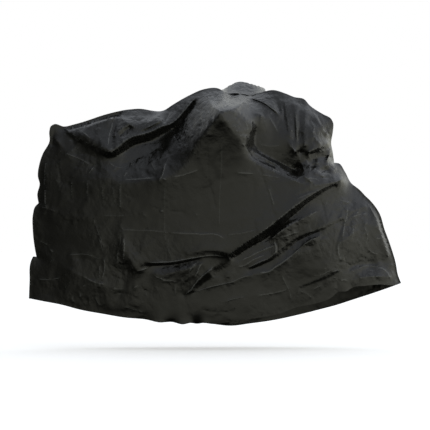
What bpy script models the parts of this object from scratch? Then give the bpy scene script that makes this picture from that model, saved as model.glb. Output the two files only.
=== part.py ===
"""A bicycle cover of black film, hanging in the folds of its fitted shape.

Two side panels are cut alike and welded together along the rear edge, the top and the front edge.
The weld leaves a flat flange of both films, and the lower edge is open. Each panel is a net of fold
lines with the film stretched between them like a membrane.

The tables are in centimetres: x runs along the cover, towards the front from the middle of its
length, height is above the ground, and depth is how far the film stands out from the seam's plane.
"""

import math

import bpy
import numpy as np
from mathutils import Vector
from mathutils.geometry import delaunay_2d_cdt

CM = 0.01
MOUNT_HEIGHT = 118.0  # the origin above the ground, just under the top of the cover
FILM = 0.0015  # thickness of a panel, metres
WELD_GAP = 0.0004  # left between the two films in the flange, metres
FLANGE = 1.6  # width of the welded flange
LINE_STEP = 3.4  # between the points on a fold line
FILL_STEP = 4.6  # between the points of the film in between
FILL_CLEAR = 0.62  # of FILL_STEP, kept free of fill points round every line
MERGE = 0.02  # points closer than this are one
ROW_RATIO = math.sqrt(3) / 2  # rows of a triangular grid
WELD_CLEAR = 0.9  # of FLANGE, kept between the weld and the edge in the corners
CROWN_REACH = 12.0  # how far below the far panel's outline its film is lowered to the seam

BLACK_FILM = (0.018, 0.019, 0.019, 1.0)
FILM_ROUGHNESS = 0.38

# The seam, as (x, height), from the rear corner of the hem up, over the top and down the front.
REAR_EDGE = (
    (-86.5, 23.3), (-86.2, 31.0), (-85.6, 40.5), (-84.6, 42.8), (-83.0, 42.7), (-83.9, 47.5),
    (-84.7, 55.0), (-84.6, 62.5), (-83.6, 66.0), (-82.0, 67.6), (-82.6, 71.5), (-81.5, 76.8),
    (-82.3, 79.8), (-81.8, 85.0), (-80.2, 90.2), (-76.9, 96.6), (-77.0, 101.0), (-76.3, 103.4),
)
REAR_TOP = (
    (-74.8, 104.3), (-70.0, 103.2), (-66.0, 104.1), (-60.0, 105.8), (-52.0, 108.5), (-45.0, 110.3),
    (-36.0, 111.4), (-23.4, 110.8), (-20.0, 113.0), (-12.0, 117.6), (-5.5, 120.4), (1.0, 121.0),
)
CROWN_SEAM = ((6.0, 118.4), (13.0, 118.0), (16.5, 117.3), (21.0, 118.8))
CROWN_FAR = ((6.0, 122.3), (11.8, 123.8), (16.5, 122.4), (21.0, 121.2))
FRONT_TOP = (
    (27.0, 120.1), (33.0, 118.4), (37.0, 116.8), (41.2, 116.0), (44.0, 113.0), (50.0, 109.0),
    (54.0, 106.7), (54.8, 105.2),
)
FRONT_EDGE = (
    (54.7, 100.8), (53.9, 95.4), (54.6, 91.5), (55.3, 86.3), (57.6, 86.0), (60.2, 82.4),
    (63.4, 76.7), (67.0, 74.0), (70.3, 70.6), (72.0, 69.0), (76.6, 62.6), (78.8, 55.5),
    (81.2, 49.0), (84.1, 39.5), (85.0, 34.5), (86.5, 30.4),
)

# The open lower edge, as (x, height, depth), from the front corner to the rear corner.
NEAR_HEM = (
    (83.0, 29.5, 1.7), (77.0, 29.8, 4.0), (70.0, 29.2, 6.0), (63.2, 28.0, 8.0), (61.8, 26.9, 8.5),
    (57.0, 26.2, 9.6), (54.0, 23.6, 10.5), (47.0, 21.0, 12.2), (38.0, 19.2, 13.6), (30.0, 16.2, 14.8),
    (18.0, 14.0, 16.0), (8.0, 12.6, 16.6), (-1.0, 11.4, 16.2), (-5.6, 11.9, 16.0), (-8.2, 11.6, 14.4),
    (-11.2, 11.9, 15.8), (-15.0, 11.2, 16.4), (-20.0, 12.4, 14.9), (-25.8, 12.1, 15.6),
    (-32.0, 13.5, 14.2), (-42.0, 14.4, 13.4), (-52.0, 16.1, 11.4), (-62.0, 17.9, 9.2),
    (-72.0, 20.5, 6.4), (-80.0, 22.0, 3.4),
)
FAR_HEM = (
    (80.0, 28.0, 2.8), (73.0, 25.6, 5.2), (65.0, 23.0, 8.2), (56.0, 20.1, 10.8), (48.0, 18.0, 12.6),
    (38.0, 15.5, 14.2), (26.0, 13.0, 15.6), (16.0, 11.6, 16.4), (8.0, 10.6, 16.8), (-4.0, 11.8, 15.6),
    (-14.0, 12.3, 16.6), (-26.0, 13.6, 15.0), (-38.0, 14.6, 14.6), (-50.0, 16.6, 11.6),
    (-62.0, 18.4, 9.6), (-74.0, 21.2, 5.6), (-81.0, 22.6, 2.8),
)

# The folds of the near panel: a name, and the line's (x, height, depth).
NEAR_FOLDS = {
    # the low peak at the rear
    "roof_edge": (
        (-70.0, 101.6, 0.8), (-66.0, 99.0, 5.0), (-60.0, 95.0, 9.5), (-54.0, 92.7, 13.0),
        (-48.5, 91.1, 15.0), (-44.0, 93.6, 15.2), (-35.0, 99.2, 15.4), (-25.0, 104.0, 14.0),
        (-19.5, 106.6, 12.8), (-14.0, 110.6, 10.5), (-9.5, 115.6, 6.5), (-6.5, 118.2, 2.5),
    ),
    "roof_welt": ((-65.2, 102.0, 1.8), (-60.0, 98.0, 7.2), (-54.0, 94.5, 11.2), (-49.6, 92.4, 13.9)),
    "roof_crest": ((-44.8, 107.8, 3.0), (-46.8, 100.0, 9.4), (-48.0, 94.6, 13.2)),
    "roof_dip": ((-43.4, 107.0, 2.4), (-44.6, 99.5, 8.6), (-46.4, 94.6, 12.6)),
    "roof_facet": ((-40.5, 107.5, 3.4), (-41.8, 102.6, 7.4), (-36.2, 102.8, 9.6), (-30.5, 107.0, 6.2)),
    "roll_top": ((-35.4, 100.8, 13.4), (-30.0, 105.2, 9.6), (-25.8, 108.8, 3.8)),
    "roof_undercut": (
        (-69.4, 99.6, 2.2), (-65.4, 96.4, 4.4), (-60.0, 92.8, 7.4), (-54.0, 90.7, 9.8),
        (-48.0, 88.9, 10.6), (-43.4, 91.2, 10.2), (-34.0, 96.6, 10.2), (-24.0, 101.4, 10.4),
        (-18.0, 104.4, 9.6), (-12.6, 108.6, 7.6), (-8.4, 113.6, 5.0), (-5.4, 117.0, 2.2),
    ),
    "rear_ridge": ((-19.2, 98.4, 15.2), (-21.0, 92.6, 18.0), (-22.4, 87.0, 20.4), (-24.6, 80.6, 21.4)),
    # the break of the slope, from the rear edge out to the high peak, and the fall below that peak
    "break": (
        (2.6, 110.0, 30.0), (-0.4, 105.6, 29.2), (-4.4, 99.6, 27.8), (-9.4, 94.4, 25.8),
        (-14.2, 85.6, 23.6), (-19.0, 80.4, 22.6), (-25.0, 78.4, 21.4), (-34.0, 78.0, 18.6),
        (-43.8, 76.9, 16.2), (-53.0, 78.5, 13.6), (-59.4, 80.2, 11.6), (-65.0, 87.0, 8.2),
        (-70.0, 92.6, 5.6), (-74.6, 97.6, 2.6),
    ),
    "break_dent": ((-58.8, 81.0, 10.6), (-55.8, 85.2, 9.6), (-50.4, 88.6, 10.0)),
    "peak_roof": (
        (2.6, 110.0, 30.0), (7.4, 111.2, 26.0), (10.6, 112.4, 21.0), (13.2, 114.6, 12.5),
        (15.6, 116.2, 4.0),
    ),
    "peak_back": ((2.6, 110.0, 30.0), (-1.2, 113.6, 22.0), (-3.0, 117.4, 9.0), (-3.2, 119.2, 2.0)),
    "peak_crown": ((2.6, 110.0, 30.0), (3.6, 114.2, 18.0), (5.8, 117.2, 4.0)),
    "peak_plumb": (
        (2.6, 110.0, 30.0), (1.4, 100.0, 29.8), (0.4, 88.0, 29.0), (0.0, 76.0, 28.0), (1.0, 62.0, 26.8),
        (1.8, 50.0, 25.4),
    ),
    "peak_front": ((2.6, 110.0, 30.0), (5.4, 105.0, 29.4), (9.4, 100.0, 27.4), (13.8, 94.4, 25.0)),
    # the pocket in front of the high peak
    "pale_left": ((10.4, 110.2, 22.6), (11.0, 104.6, 24.6), (12.2, 99.0, 25.2), (13.8, 94.4, 25.0)),
    "pale_right": (
        (10.4, 110.2, 22.6), (14.2, 106.8, 20.4), (17.5, 103.0, 17.8), (16.4, 99.4, 18.4),
        (15.6, 95.8, 18.8),
    ),
    "pocket_left": (
        (20.4, 110.0, 8.6), (20.2, 105.4, 10.2), (18.9, 101.0, 11.4), (17.9, 97.0, 12.0),
        (17.6, 94.8, 11.4),
    ),
    "pocket_crest": ((23.0, 109.0, 8.8), (21.6, 104.4, 11.4), (20.4, 100.2, 12.4)),
    "crown_edge": (
        (17.4, 116.0, 3.4), (20.6, 115.3, 7.2), (24.4, 113.8, 10.0), (27.4, 111.6, 12.0),
        (30.2, 108.4, 13.6), (31.2, 104.0, 14.0), (33.2, 99.6, 14.4), (35.2, 95.0, 15.0),
        (37.6, 91.2, 15.6),
    ),
    "crown_undercut": (
        (18.2, 113.6, 4.6), (21.2, 112.6, 6.2), (24.2, 111.0, 7.4), (26.8, 109.0, 8.4),
        (28.4, 106.0, 9.4), (29.4, 102.0, 10.0), (31.0, 97.6, 10.4), (33.0, 93.0, 10.4),
        (35.0, 89.4, 10.0),
    ),
    "pocket_floor": (
        (17.6, 94.8, 11.4), (20.8, 91.4, 8.8), (25.6, 89.0, 7.0), (31.0, 86.6, 6.8), (35.4, 83.6, 8.0),
        (38.6, 81.2, 9.6),
    ),
    "pocket_lip": (
        (15.9, 93.4, 17.0), (20.2, 89.9, 14.6), (25.2, 87.0, 13.4), (30.6, 84.4, 13.2),
        (36.0, 81.4, 13.6),
    ),
    "lip_groove": ((15.2, 91.4, 18.6), (18.0, 88.7, 16.4), (22.8, 86.5, 15.0), (28.2, 83.9, 14.6)),
    "shelf_edge": (
        (13.8, 94.4, 25.0), (15.4, 90.2, 23.6), (19.8, 86.0, 22.6), (24.0, 83.8, 22.0),
        (30.0, 81.0, 21.2), (36.0, 78.4, 20.4), (41.0, 76.4, 19.6), (47.0, 75.8, 17.6),
        (53.0, 76.6, 14.4), (58.8, 78.2, 9.6),
    ),
    # pleats and the loose front corner
    "pleat_a": ((27.6, 117.6, 3.4), (28.9, 112.4, 11.0), (31.6, 106.0, 14.6), (33.8, 100.6, 15.4)),
    "pleat_b": ((30.2, 117.0, 3.4), (31.8, 110.0, 11.0), (33.4, 103.2, 13.6), (36.0, 97.0, 14.2)),
    "pleat_c": ((32.8, 116.0, 4.2), (34.2, 108.0, 14.2), (35.6, 101.0, 16.6), (37.4, 95.4, 16.6)),
    "pleat_d": ((35.4, 114.6, 3.8), (36.8, 107.0, 11.4), (37.6, 100.0, 13.8), (38.8, 94.6, 14.2)),
    "pleat_e": ((37.4, 113.6, 4.6), (38.6, 106.0, 13.6), (39.4, 99.0, 15.8), (40.4, 93.2, 15.8)),
    "pleat_f": ((40.6, 112.8, 3.6), (41.2, 106.0, 9.8), (41.6, 99.0, 12.2), (42.2, 93.8, 13.2)),
    "corner_brow": ((45.0, 110.0, 3.6), (48.2, 106.0, 8.4), (51.0, 101.4, 9.0), (52.6, 98.6, 6.2)),
    "corner_furrow": ((46.6, 109.2, 2.6), (49.6, 105.4, 5.2), (52.2, 101.0, 5.4), (53.0, 98.4, 3.2)),
    "corner_belly": ((43.8, 103.0, 11.4), (46.4, 98.0, 14.0), (48.6, 95.4, 13.4)),
    "corner_lip": ((43.6, 91.2, 15.4), (47.8, 92.9, 14.6), (52.4, 95.4, 9.0)),
    "corner_under": ((43.8, 89.6, 10.6), (48.2, 90.8, 8.8), (52.2, 92.6, 4.2)),
    "knot": ((37.6, 91.2, 15.6), (40.6, 90.6, 11.0), (43.6, 91.2, 15.4)),
    "knot_pit": (
        (38.6, 81.2, 9.6), (40.6, 84.0, 9.4), (43.8, 87.0, 9.6), (46.4, 85.0, 8.4), (51.6, 83.0, 6.2),
    ),
    "crumple_a": ((39.9, 83.2, 12.6), (41.8, 80.2, 16.6), (44.6, 77.6, 18.6)),
    "crumple_b": ((45.2, 82.6, 12.0), (48.4, 79.6, 15.4), (50.6, 78.2, 15.0)),
    "crumple_c": ((52.0, 80.2, 9.4), (55.6, 82.8, 6.0), (57.4, 83.6, 2.4)),
    # the great diagonal swag
    "swag": (
        (-36.2, 37.6, 16.4), (-29.0, 41.4, 18.6), (-20.0, 43.4, 20.6), (-10.0, 45.4, 22.8),
        (0.0, 46.4, 24.2), (5.6, 46.0, 24.6), (12.0, 49.4, 24.8), (20.0, 54.6, 24.6), (27.0, 59.4, 24.0),
        (34.0, 64.4, 22.8), (41.0, 68.8, 20.6), (47.0, 72.4, 17.8), (53.0, 75.2, 14.0),
        (58.0, 77.0, 9.4),
    ),
    "swag_under": (
        (-35.4, 36.2, 14.4), (-28.6, 38.9, 14.8), (-20.0, 40.4, 16.0), (-10.0, 42.4, 17.8),
        (0.0, 43.6, 19.0), (5.8, 42.0, 19.4), (12.6, 45.6, 18.6), (20.6, 50.6, 18.2), (27.8, 55.6, 17.8),
        (35.0, 60.8, 17.2), (42.0, 65.6, 15.8), (48.0, 69.6, 14.0), (53.6, 73.0, 11.6),
        (58.4, 75.2, 7.6),
    ),
    "flank_rear": ((-72.0, 62.0, 6.8), (-62.0, 60.5, 10.6), (-52.0, 61.0, 13.4), (-40.0, 63.0, 16.4)),
    "flank_mid": ((-28.0, 60.0, 20.2), (-16.0, 59.4, 23.4), (-6.0, 60.4, 25.6)),
    "flank_front": ((8.0, 63.0, 26.4), (16.0, 66.4, 25.8)),
    "front_crease": ((22.0, 78.0, 22.4), (24.6, 70.0, 24.0), (26.6, 63.0, 23.2)),
    # below the swag
    "gusset": ((-43.0, 54.6, 15.6), (-41.2, 47.6, 17.2), (-40.2, 41.2, 18.0), (-37.0, 37.0, 16.8)),
    "gusset_groove": ((-43.4, 53.6, 15.0), (-43.6, 46.4, 15.4)),
    "under_crest": (
        (-31.0, 36.4, 16.8), (-23.0, 36.0, 17.6), (-15.0, 38.2, 19.0), (-6.0, 41.4, 20.6),
        (5.6, 40.4, 21.0),
    ),
    "fan_ridge": ((-14.4, 25.0, 17.8), (-9.0, 29.2, 20.2), (-4.0, 34.6, 21.6), (0.4, 38.2, 21.8)),
    "fan_valley": ((-8.6, 26.6, 17.6), (0.0, 31.6, 17.6), (8.0, 36.6, 17.8), (14.0, 42.2, 18.2)),
    "long_ridge": (
        (-9.0, 24.6, 18.4), (4.0, 29.0, 19.6), (12.0, 32.6, 20.0), (20.0, 35.3, 20.0),
        (26.4, 36.4, 19.6), (31.0, 40.2, 19.8), (36.0, 45.0, 19.2), (42.0, 49.2, 18.2),
        (50.0, 52.6, 15.8),
    ),
    "rib_valley": (
        (16.4, 36.2, 17.4), (23.0, 39.0, 17.2), (29.0, 43.6, 16.8), (35.6, 48.6, 16.2),
        (43.0, 52.6, 15.0),
    ),
    "rib": (
        (15.6, 38.8, 18.8), (21.0, 41.6, 19.8), (27.0, 45.0, 19.6), (33.4, 49.6, 18.8),
        (40.0, 53.6, 17.6),
    ),
    "patch": ((22.4, 48.4, 18.8), (29.4, 53.6, 19.8), (36.8, 57.6, 19.0), (44.6, 62.0, 16.8)),
    "low_ridge": (
        (-12.0, 16.8, 17.0), (-3.0, 18.2, 17.8), (6.0, 20.4, 18.2), (14.0, 24.0, 18.4),
        (24.0, 25.6, 18.0), (34.0, 27.4, 17.0), (44.0, 29.2, 15.4), (51.0, 32.4, 13.6),
        (57.4, 35.6, 11.6),
    ),
    "low_valley": (
        (-4.0, 21.4, 16.6), (8.0, 26.2, 16.8), (20.0, 30.0, 17.0), (32.0, 34.6, 16.2),
        (44.0, 41.6, 14.2), (53.0, 47.0, 12.0),
    ),
    "front_groove": ((44.0, 54.4, 15.2), (51.6, 56.0, 13.0), (58.8, 60.2, 9.6)),
    "front_rib": ((47.0, 60.0, 14.8), (55.0, 64.4, 11.2), (62.0, 67.4, 8.0)),
    "nose_groove": ((61.6, 61.4, 8.4), (69.6, 65.8, 3.8)),
    "nose_rib": ((56.0, 50.0, 11.6), (64.0, 55.6, 8.8), (72.0, 59.6, 4.4)),
    "toe_groove": ((57.4, 38.2, 9.4), (66.6, 39.8, 5.4), (73.0, 40.0, 4.0), (81.6, 41.2, 1.4)),
    "toe_roll": ((64.0, 36.4, 8.4), (70.0, 37.8, 6.4), (76.0, 38.0, 4.8), (82.4, 38.6, 2.0)),
    "toe_bulge": ((69.0, 33.0, 6.8), (76.6, 33.6, 4.8), (81.4, 33.2, 3.0)),
    # rear flank and its foot
    "foot_crest": (
        (-66.0, 35.2, 9.8), (-58.0, 30.4, 11.8), (-51.6, 28.4, 13.2), (-41.0, 28.2, 15.0),
        (-30.0, 26.8, 16.2),
    ),
    "foot_groove": (
        (-63.0, 28.6, 9.0), (-55.0, 26.4, 10.4), (-47.6, 22.6, 12.0), (-38.0, 20.8, 13.8),
        (-28.0, 19.6, 14.8),
    ),
    "shin_groove": ((-49.0, 38.0, 13.4), (-43.6, 36.4, 14.4), (-38.6, 34.8, 15.2)),
    "heel_notch": ((-80.2, 42.0, 1.6), (-77.0, 40.8, 2.8), (-73.4, 39.0, 5.0)),
    "heel_crest": ((-80.4, 46.4, 3.4), (-75.6, 44.4, 5.6), (-70.6, 41.8, 7.2)),
    "calf": ((-79.6, 63.0, 2.6), (-79.2, 70.0, 2.4), (-79.2, 78.0, 2.2), (-78.2, 86.0, 2.0)),
}

# The folds of the far panel, in the same terms. It was pulled lower in front and hangs more freely.
FAR_FOLDS = {
    "roof_edge": (
        (-70.0, 101.4, 1.0), (-63.0, 97.4, 6.6), (-55.0, 94.6, 11.2), (-47.0, 94.4, 13.4),
        (-38.0, 98.0, 14.0), (-29.0, 103.2, 13.4), (-20.0, 107.6, 11.6), (-11.0, 113.2, 8.0),
        (-4.6, 117.6, 3.2),
    ),
    "roof_undercut": (
        (-69.0, 99.0, 2.4), (-62.6, 94.8, 5.4), (-54.6, 91.8, 8.8), (-46.6, 91.6, 10.0),
        (-37.4, 95.0, 10.2), (-28.0, 100.0, 10.0), (-19.0, 104.2, 9.2), (-10.0, 109.6, 7.0),
        (-4.0, 114.6, 4.2),
    ),
    "roof_crest": ((-42.0, 108.4, 3.2), (-44.8, 101.6, 8.8), (-46.8, 96.0, 12.6)),
    "rear_ridge": ((-30.0, 96.8, 13.6), (-28.6, 90.0, 17.0), (-28.0, 82.6, 19.8)),
    "break": (
        (11.8, 123.4, 28.0), (6.4, 112.6, 27.6), (-1.0, 104.0, 26.2), (-9.0, 94.6, 24.4),
        (-18.0, 85.4, 22.2), (-28.0, 80.4, 20.0), (-40.0, 78.4, 17.0), (-50.0, 79.0, 14.2),
        (-60.0, 81.8, 10.8), (-67.4, 90.4, 6.8), (-74.4, 97.6, 2.8),
    ),
    "peak_plumb": (
        (11.8, 123.4, 28.0), (11.6, 108.0, 28.6), (10.8, 94.0, 28.2), (9.6, 78.0, 27.2),
        (8.4, 62.0, 25.6), (7.0, 52.0, 24.4),
    ),
    "peak_back": ((11.8, 123.4, 28.0), (4.4, 119.8, 14.0), (0.6, 119.4, 4.0)),
    "peak_front": ((11.8, 123.4, 28.0), (17.6, 113.0, 25.4), (22.4, 104.0, 23.6), (26.4, 96.0, 22.8)),
    "crown_edge": (
        (11.8, 123.4, 28.0), (18.4, 118.6, 20.0), (25.0, 115.6, 15.0), (30.0, 110.0, 14.4),
        (33.0, 103.0, 15.2), (36.0, 96.0, 16.4), (40.0, 90.0, 16.8),
    ),
    "crown_dell": (
        (20.6, 112.0, 17.6), (25.4, 106.0, 12.4), (29.4, 99.0, 12.0), (34.0, 91.4, 12.4),
        (37.6, 86.0, 12.6),
    ),
    "pleat_a": ((31.0, 116.4, 4.0), (33.8, 108.0, 11.4), (36.6, 99.6, 13.6), (39.6, 93.6, 13.8)),
    "pleat_b": ((34.6, 114.8, 4.6), (37.0, 106.6, 13.8), (39.4, 98.6, 16.2), (41.8, 93.0, 15.8)),
    "pleat_c": ((39.0, 113.0, 3.8), (41.0, 105.6, 10.2), (42.6, 98.8, 12.4), (44.2, 93.4, 12.6)),
    "corner_belly": ((46.0, 107.0, 5.8), (47.6, 100.6, 10.4), (49.4, 95.0, 10.6), (50.6, 89.4, 7.6)),
    "corner_furrow": ((50.6, 104.6, 3.2), (51.6, 99.4, 4.6), (52.2, 94.4, 4.2)),
    "lap": (
        (26.4, 96.0, 22.8), (33.0, 87.4, 20.6), (40.0, 81.4, 18.6), (47.0, 77.8, 15.8),
        (54.0, 77.6, 11.2), (58.6, 78.4, 7.4),
    ),
    "swag": (
        (-44.0, 52.6, 16.4), (-34.0, 49.4, 19.0), (-22.0, 48.8, 21.2), (-8.0, 50.6, 23.2),
        (6.0, 52.0, 24.4), (18.0, 55.6, 24.2), (29.0, 61.0, 22.6), (39.0, 66.6, 19.6),
        (48.0, 71.4, 15.6), (56.6, 74.6, 10.4),
    ),
    "swag_under": (
        (-43.0, 49.6, 14.6), (-33.6, 46.2, 15.8), (-22.0, 45.4, 17.4), (-8.0, 46.8, 19.0),
        (6.4, 48.0, 19.8), (19.0, 51.8, 19.0), (30.4, 57.2, 17.6), (40.4, 63.0, 15.4),
        (49.4, 68.0, 12.6), (57.4, 72.0, 8.6),
    ),
    "flank_rear": ((-72.0, 64.0, 6.6), (-61.0, 62.0, 10.8), (-50.0, 63.0, 13.8), (-38.0, 64.0, 17.0)),
    "flank_mid": ((-24.0, 64.0, 20.6), (-10.0, 66.0, 23.8)),
    "flank_front": ((16.0, 76.0, 26.2), (26.0, 72.0, 24.0)),
    "long_ridge": (
        (-26.0, 30.0, 17.4), (-12.0, 31.4, 19.2), (2.0, 34.8, 20.4), (16.0, 37.0, 20.2),
        (28.0, 42.0, 19.2), (39.0, 48.4, 17.2), (49.0, 52.0, 14.4), (58.0, 57.6, 10.8),
    ),
    "long_valley": (
        (-20.0, 34.6, 16.8), (-6.0, 38.0, 17.8), (10.0, 41.6, 18.0), (24.0, 46.2, 17.0),
        (37.0, 54.0, 14.8), (47.0, 59.0, 12.6),
    ),
    "low_ridge": (
        (-34.0, 21.8, 16.0), (-18.0, 20.6, 17.6), (0.0, 22.4, 18.4), (18.0, 24.8, 18.2),
        (34.0, 28.6, 16.2), (48.0, 34.4, 13.2), (58.0, 38.0, 10.4),
    ),
    "low_valley": (
        (-22.0, 25.6, 16.0), (-4.0, 27.4, 17.2), (14.0, 29.8, 17.4), (30.0, 34.4, 15.6),
        (44.0, 41.4, 13.0),
    ),
    "nose_groove": ((60.0, 62.0, 8.0), (69.0, 66.4, 3.6)),
    "nose_rib": ((58.0, 47.0, 10.8), (66.0, 52.0, 8.0), (74.6, 56.4, 3.2)),
    "toe_groove": ((60.0, 36.4, 8.0), (70.0, 38.8, 4.8), (81.4, 40.6, 1.4)),
    "toe_roll": ((64.0, 32.6, 8.4), (74.0, 35.6, 5.6), (82.4, 36.6, 2.2)),
    "foot_crest": ((-70.0, 36.0, 8.2), (-60.0, 33.0, 11.4), (-48.0, 32.0, 14.0), (-36.0, 34.0, 15.8)),
    "foot_groove": ((-66.0, 27.4, 8.2), (-54.0, 25.4, 11.0), (-42.0, 26.0, 13.2)),
    "heel_notch": ((-80.2, 42.2, 1.6), (-75.0, 44.0, 3.6), (-69.4, 46.4, 6.4)),
    "heel_crest": ((-80.6, 38.6, 2.6), (-75.6, 39.4, 5.6), (-69.0, 41.4, 7.6)),
    "calf": ((-79.4, 60.0, 2.8), (-79.2, 70.0, 2.6), (-79.0, 80.0, 2.4), (-77.6, 88.0, 2.2)),
}


def resample(line, step):
    """The line's own points and even ones between them, about step apart."""
    points = np.array(line, float)
    out = [points[0]]
    for a, b in zip(points[:-1], points[1:]):
        count = max(1, round(float(np.linalg.norm((b - a)[:2])) / step))
        out += [a + (b - a) * k / count for k in range(1, count + 1)]
    return np.array(out)


def with_depth(line, depth=0.0):
    """An (x, height) line as (x, height, depth)."""
    return [(x, h, depth) for x, h in line]


def seam_line(crown):
    """The seam from the rear corner of the hem to the front one, with that line over the high peak."""
    return with_depth((*REAR_EDGE, *REAR_TOP, *crown, *FRONT_TOP, *FRONT_EDGE))


def weld_line(seam):
    """The inner edge of the flange: the seam's points moved in by the flange's width."""
    points = resample(seam, LINE_STEP)[:, :2]
    along = np.gradient(points, axis=0)
    along /= np.linalg.norm(along, axis=1)[:, None]
    inward = np.stack([along[:, 1], -along[:, 0]], 1)
    moved = points + inward * FLANGE
    gaps = np.linalg.norm(moved[:, None] - points[None], axis=2).min(1)
    keep = moved[gaps > WELD_CLEAR * FLANGE]
    return np.column_stack([keep, np.zeros(len(keep))])


def inside(polygon, points):
    """Which points lie inside the closed polygon, by crossing count."""
    x, y = points[:, 0], points[:, 1]
    odd = np.zeros(len(points), bool)
    for (x0, y0), (x1, y1) in zip(polygon, np.roll(polygon, -1, axis=0)):
        crosses = (y0 > y) != (y1 > y)
        at = x0 + (y - y0) * (x1 - x0) / np.where(y1 == y0, 1.0, y1 - y0)
        odd ^= crosses & (x < at)
    return odd


def fill_points(border, lines):
    """A triangular grid inside the border, clear of every line."""
    low, high = border.min(0), border.max(0)
    rows = np.arange(low[1], high[1], FILL_STEP * ROW_RATIO)
    grid = [
        (x, y)
        for k, y in enumerate(rows)
        for x in np.arange(low[0] + (k % 2) * FILL_STEP / 2, high[0], FILL_STEP)
    ]
    grid = np.array(grid)
    grid = grid[inside(border, grid)]
    nearest = np.linalg.norm(grid[:, None] - lines[None], axis=2).min(1)
    return grid[nearest > FILL_CLEAR * FILL_STEP]


def membrane(count, edges, depth, fixed):
    """Depths with every free point at the mean of its neighbours, as in a stretched film."""
    system = np.zeros((count, count))
    for a, b in edges:
        system[a, b] = system[b, a] = -1.0
    np.fill_diagonal(system, -system.sum(1))
    system[fixed] = 0.0
    system[fixed, fixed] = 1.0
    return np.linalg.solve(system, np.where(fixed, depth, 0.0))


def film_net(seam, hem, folds):
    """The panel as points (x, height, depth) and triangles, with an edge along every fold."""
    border = np.vstack([resample(seam, LINE_STEP), resample([seam[-1], *hem, seam[0]], LINE_STEP)[1:-1]])
    chains = [(border, True), *((resample(line, LINE_STEP), False) for line in folds.values())]
    points, edges, start = [], [], 0
    for chain, closed in chains:
        ids = np.arange(start, start + len(chain))
        points.append(chain)
        edges += list(zip(ids[:-1].tolist(), ids[1:].tolist()))
        if closed:
            edges.append((int(ids[-1]), int(ids[0])))
        start += len(chain)
    points.append(weld_line(seam))
    known = np.vstack(points)
    grid = fill_points(border[:, :2], known[:, :2])
    flat = [Vector(p) for p in np.vstack([known[:, :2], grid]).tolist()]
    coords, net_edges, faces, sources, _, _ = delaunay_2d_cdt(flat, edges, [], 1, MERGE)
    depth = np.zeros(len(coords))
    fixed = np.zeros(len(coords), bool)
    for i, source in enumerate(sources):
        given = [s for s in source if s < len(known)]
        if given:
            depth[i] = known[given[0], 2]
            fixed[i] = True
    depth = membrane(len(coords), net_edges, depth, fixed)
    return np.column_stack([np.array([tuple(c) for c in coords]), depth]), faces


def film_material():
    """Black polyethylene film, half gloss."""
    material = bpy.data.materials.new("black_film")
    material.use_nodes = True
    shader = material.node_tree.nodes["Principled BSDF"]
    shader.inputs["Base Color"].default_value = BLACK_FILM
    shader.inputs["Roughness"].default_value = FILM_ROUGHNESS
    return material


def crown_drop(net):
    """How far the far film sinks from its outline to the seam, where that dips beside the high peak."""
    outline, seam = (np.array([REAR_TOP[-1], *crown, FRONT_TOP[0]]) for crown in (CROWN_FAR, CROWN_SEAM))
    top = np.interp(net[:, 0], outline[:, 0], outline[:, 1])
    dip = top - np.interp(net[:, 0], seam[:, 0], seam[:, 1])
    peak_depth = FAR_FOLDS["peak_plumb"][0][2]
    share = np.clip(1.0 - net[:, 2] / peak_depth, 0.0, 1.0)
    return np.where(net[:, 1] > top - CROWN_REACH, dip * share, 0.0)


def panel(name, net, faces, side, collection, material):
    """One welded side panel: the net as a sheet of film on its side of the seam's plane."""
    outer = net[:, 2] * CM + WELD_GAP / 2 + FILM
    places = np.column_stack([net[:, 0] * CM, side * outer, (net[:, 1] - MOUNT_HEIGHT) * CM])
    mesh = bpy.data.meshes.new(name)
    mesh.from_pydata(places.tolist(), [], [f if side < 0 else f[::-1] for f in faces])
    mesh.materials.append(material)
    sheet = bpy.data.objects.new(name, mesh)
    collection.objects.link(sheet)
    wall = sheet.modifiers.new("film", "SOLIDIFY")
    wall.thickness = FILM
    wall.offset = -1.0
    return sheet


def main():
    for old in list(bpy.data.objects):
        bpy.data.objects.remove(old)
    cover = bpy.data.collections.new("bicycle_cover")
    bpy.context.scene.collection.children.link(cover)
    film = film_material()
    near, near_faces = film_net(seam_line(CROWN_SEAM), NEAR_HEM, NEAR_FOLDS)
    panel("near_panel", near, near_faces, -1, cover, film)
    far, far_faces = film_net(seam_line(CROWN_FAR), FAR_HEM, FAR_FOLDS)
    far[:, 1] -= crown_drop(far)
    panel("far_panel", far, far_faces, 1, cover, film)


main()
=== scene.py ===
"""A bicycle cover of thin black film, hanging in its folds over a pale floor in soft studio light.

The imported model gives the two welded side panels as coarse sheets. Each panel is laid out again here on
the same seam, hem and fold lines, with the film stretched between them like a membrane. The folds are
rounded, the creases of the packing and the hang are worked in, and the film is dressed.

The tables are in centimetres: x runs along the cover, towards the front from the middle of its length,
height is above the ground, and depth is how far the film stands out from the seam's plane.
"""

import logging
import math
from collections.abc import Iterable, Sequence
from dataclasses import dataclass, field
from enum import Enum
from typing import NamedTuple

import bpy
import numpy as np
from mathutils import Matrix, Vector
from mathutils.geometry import delaunay_2d_cdt
from mathutils.kdtree import KDTree

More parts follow.
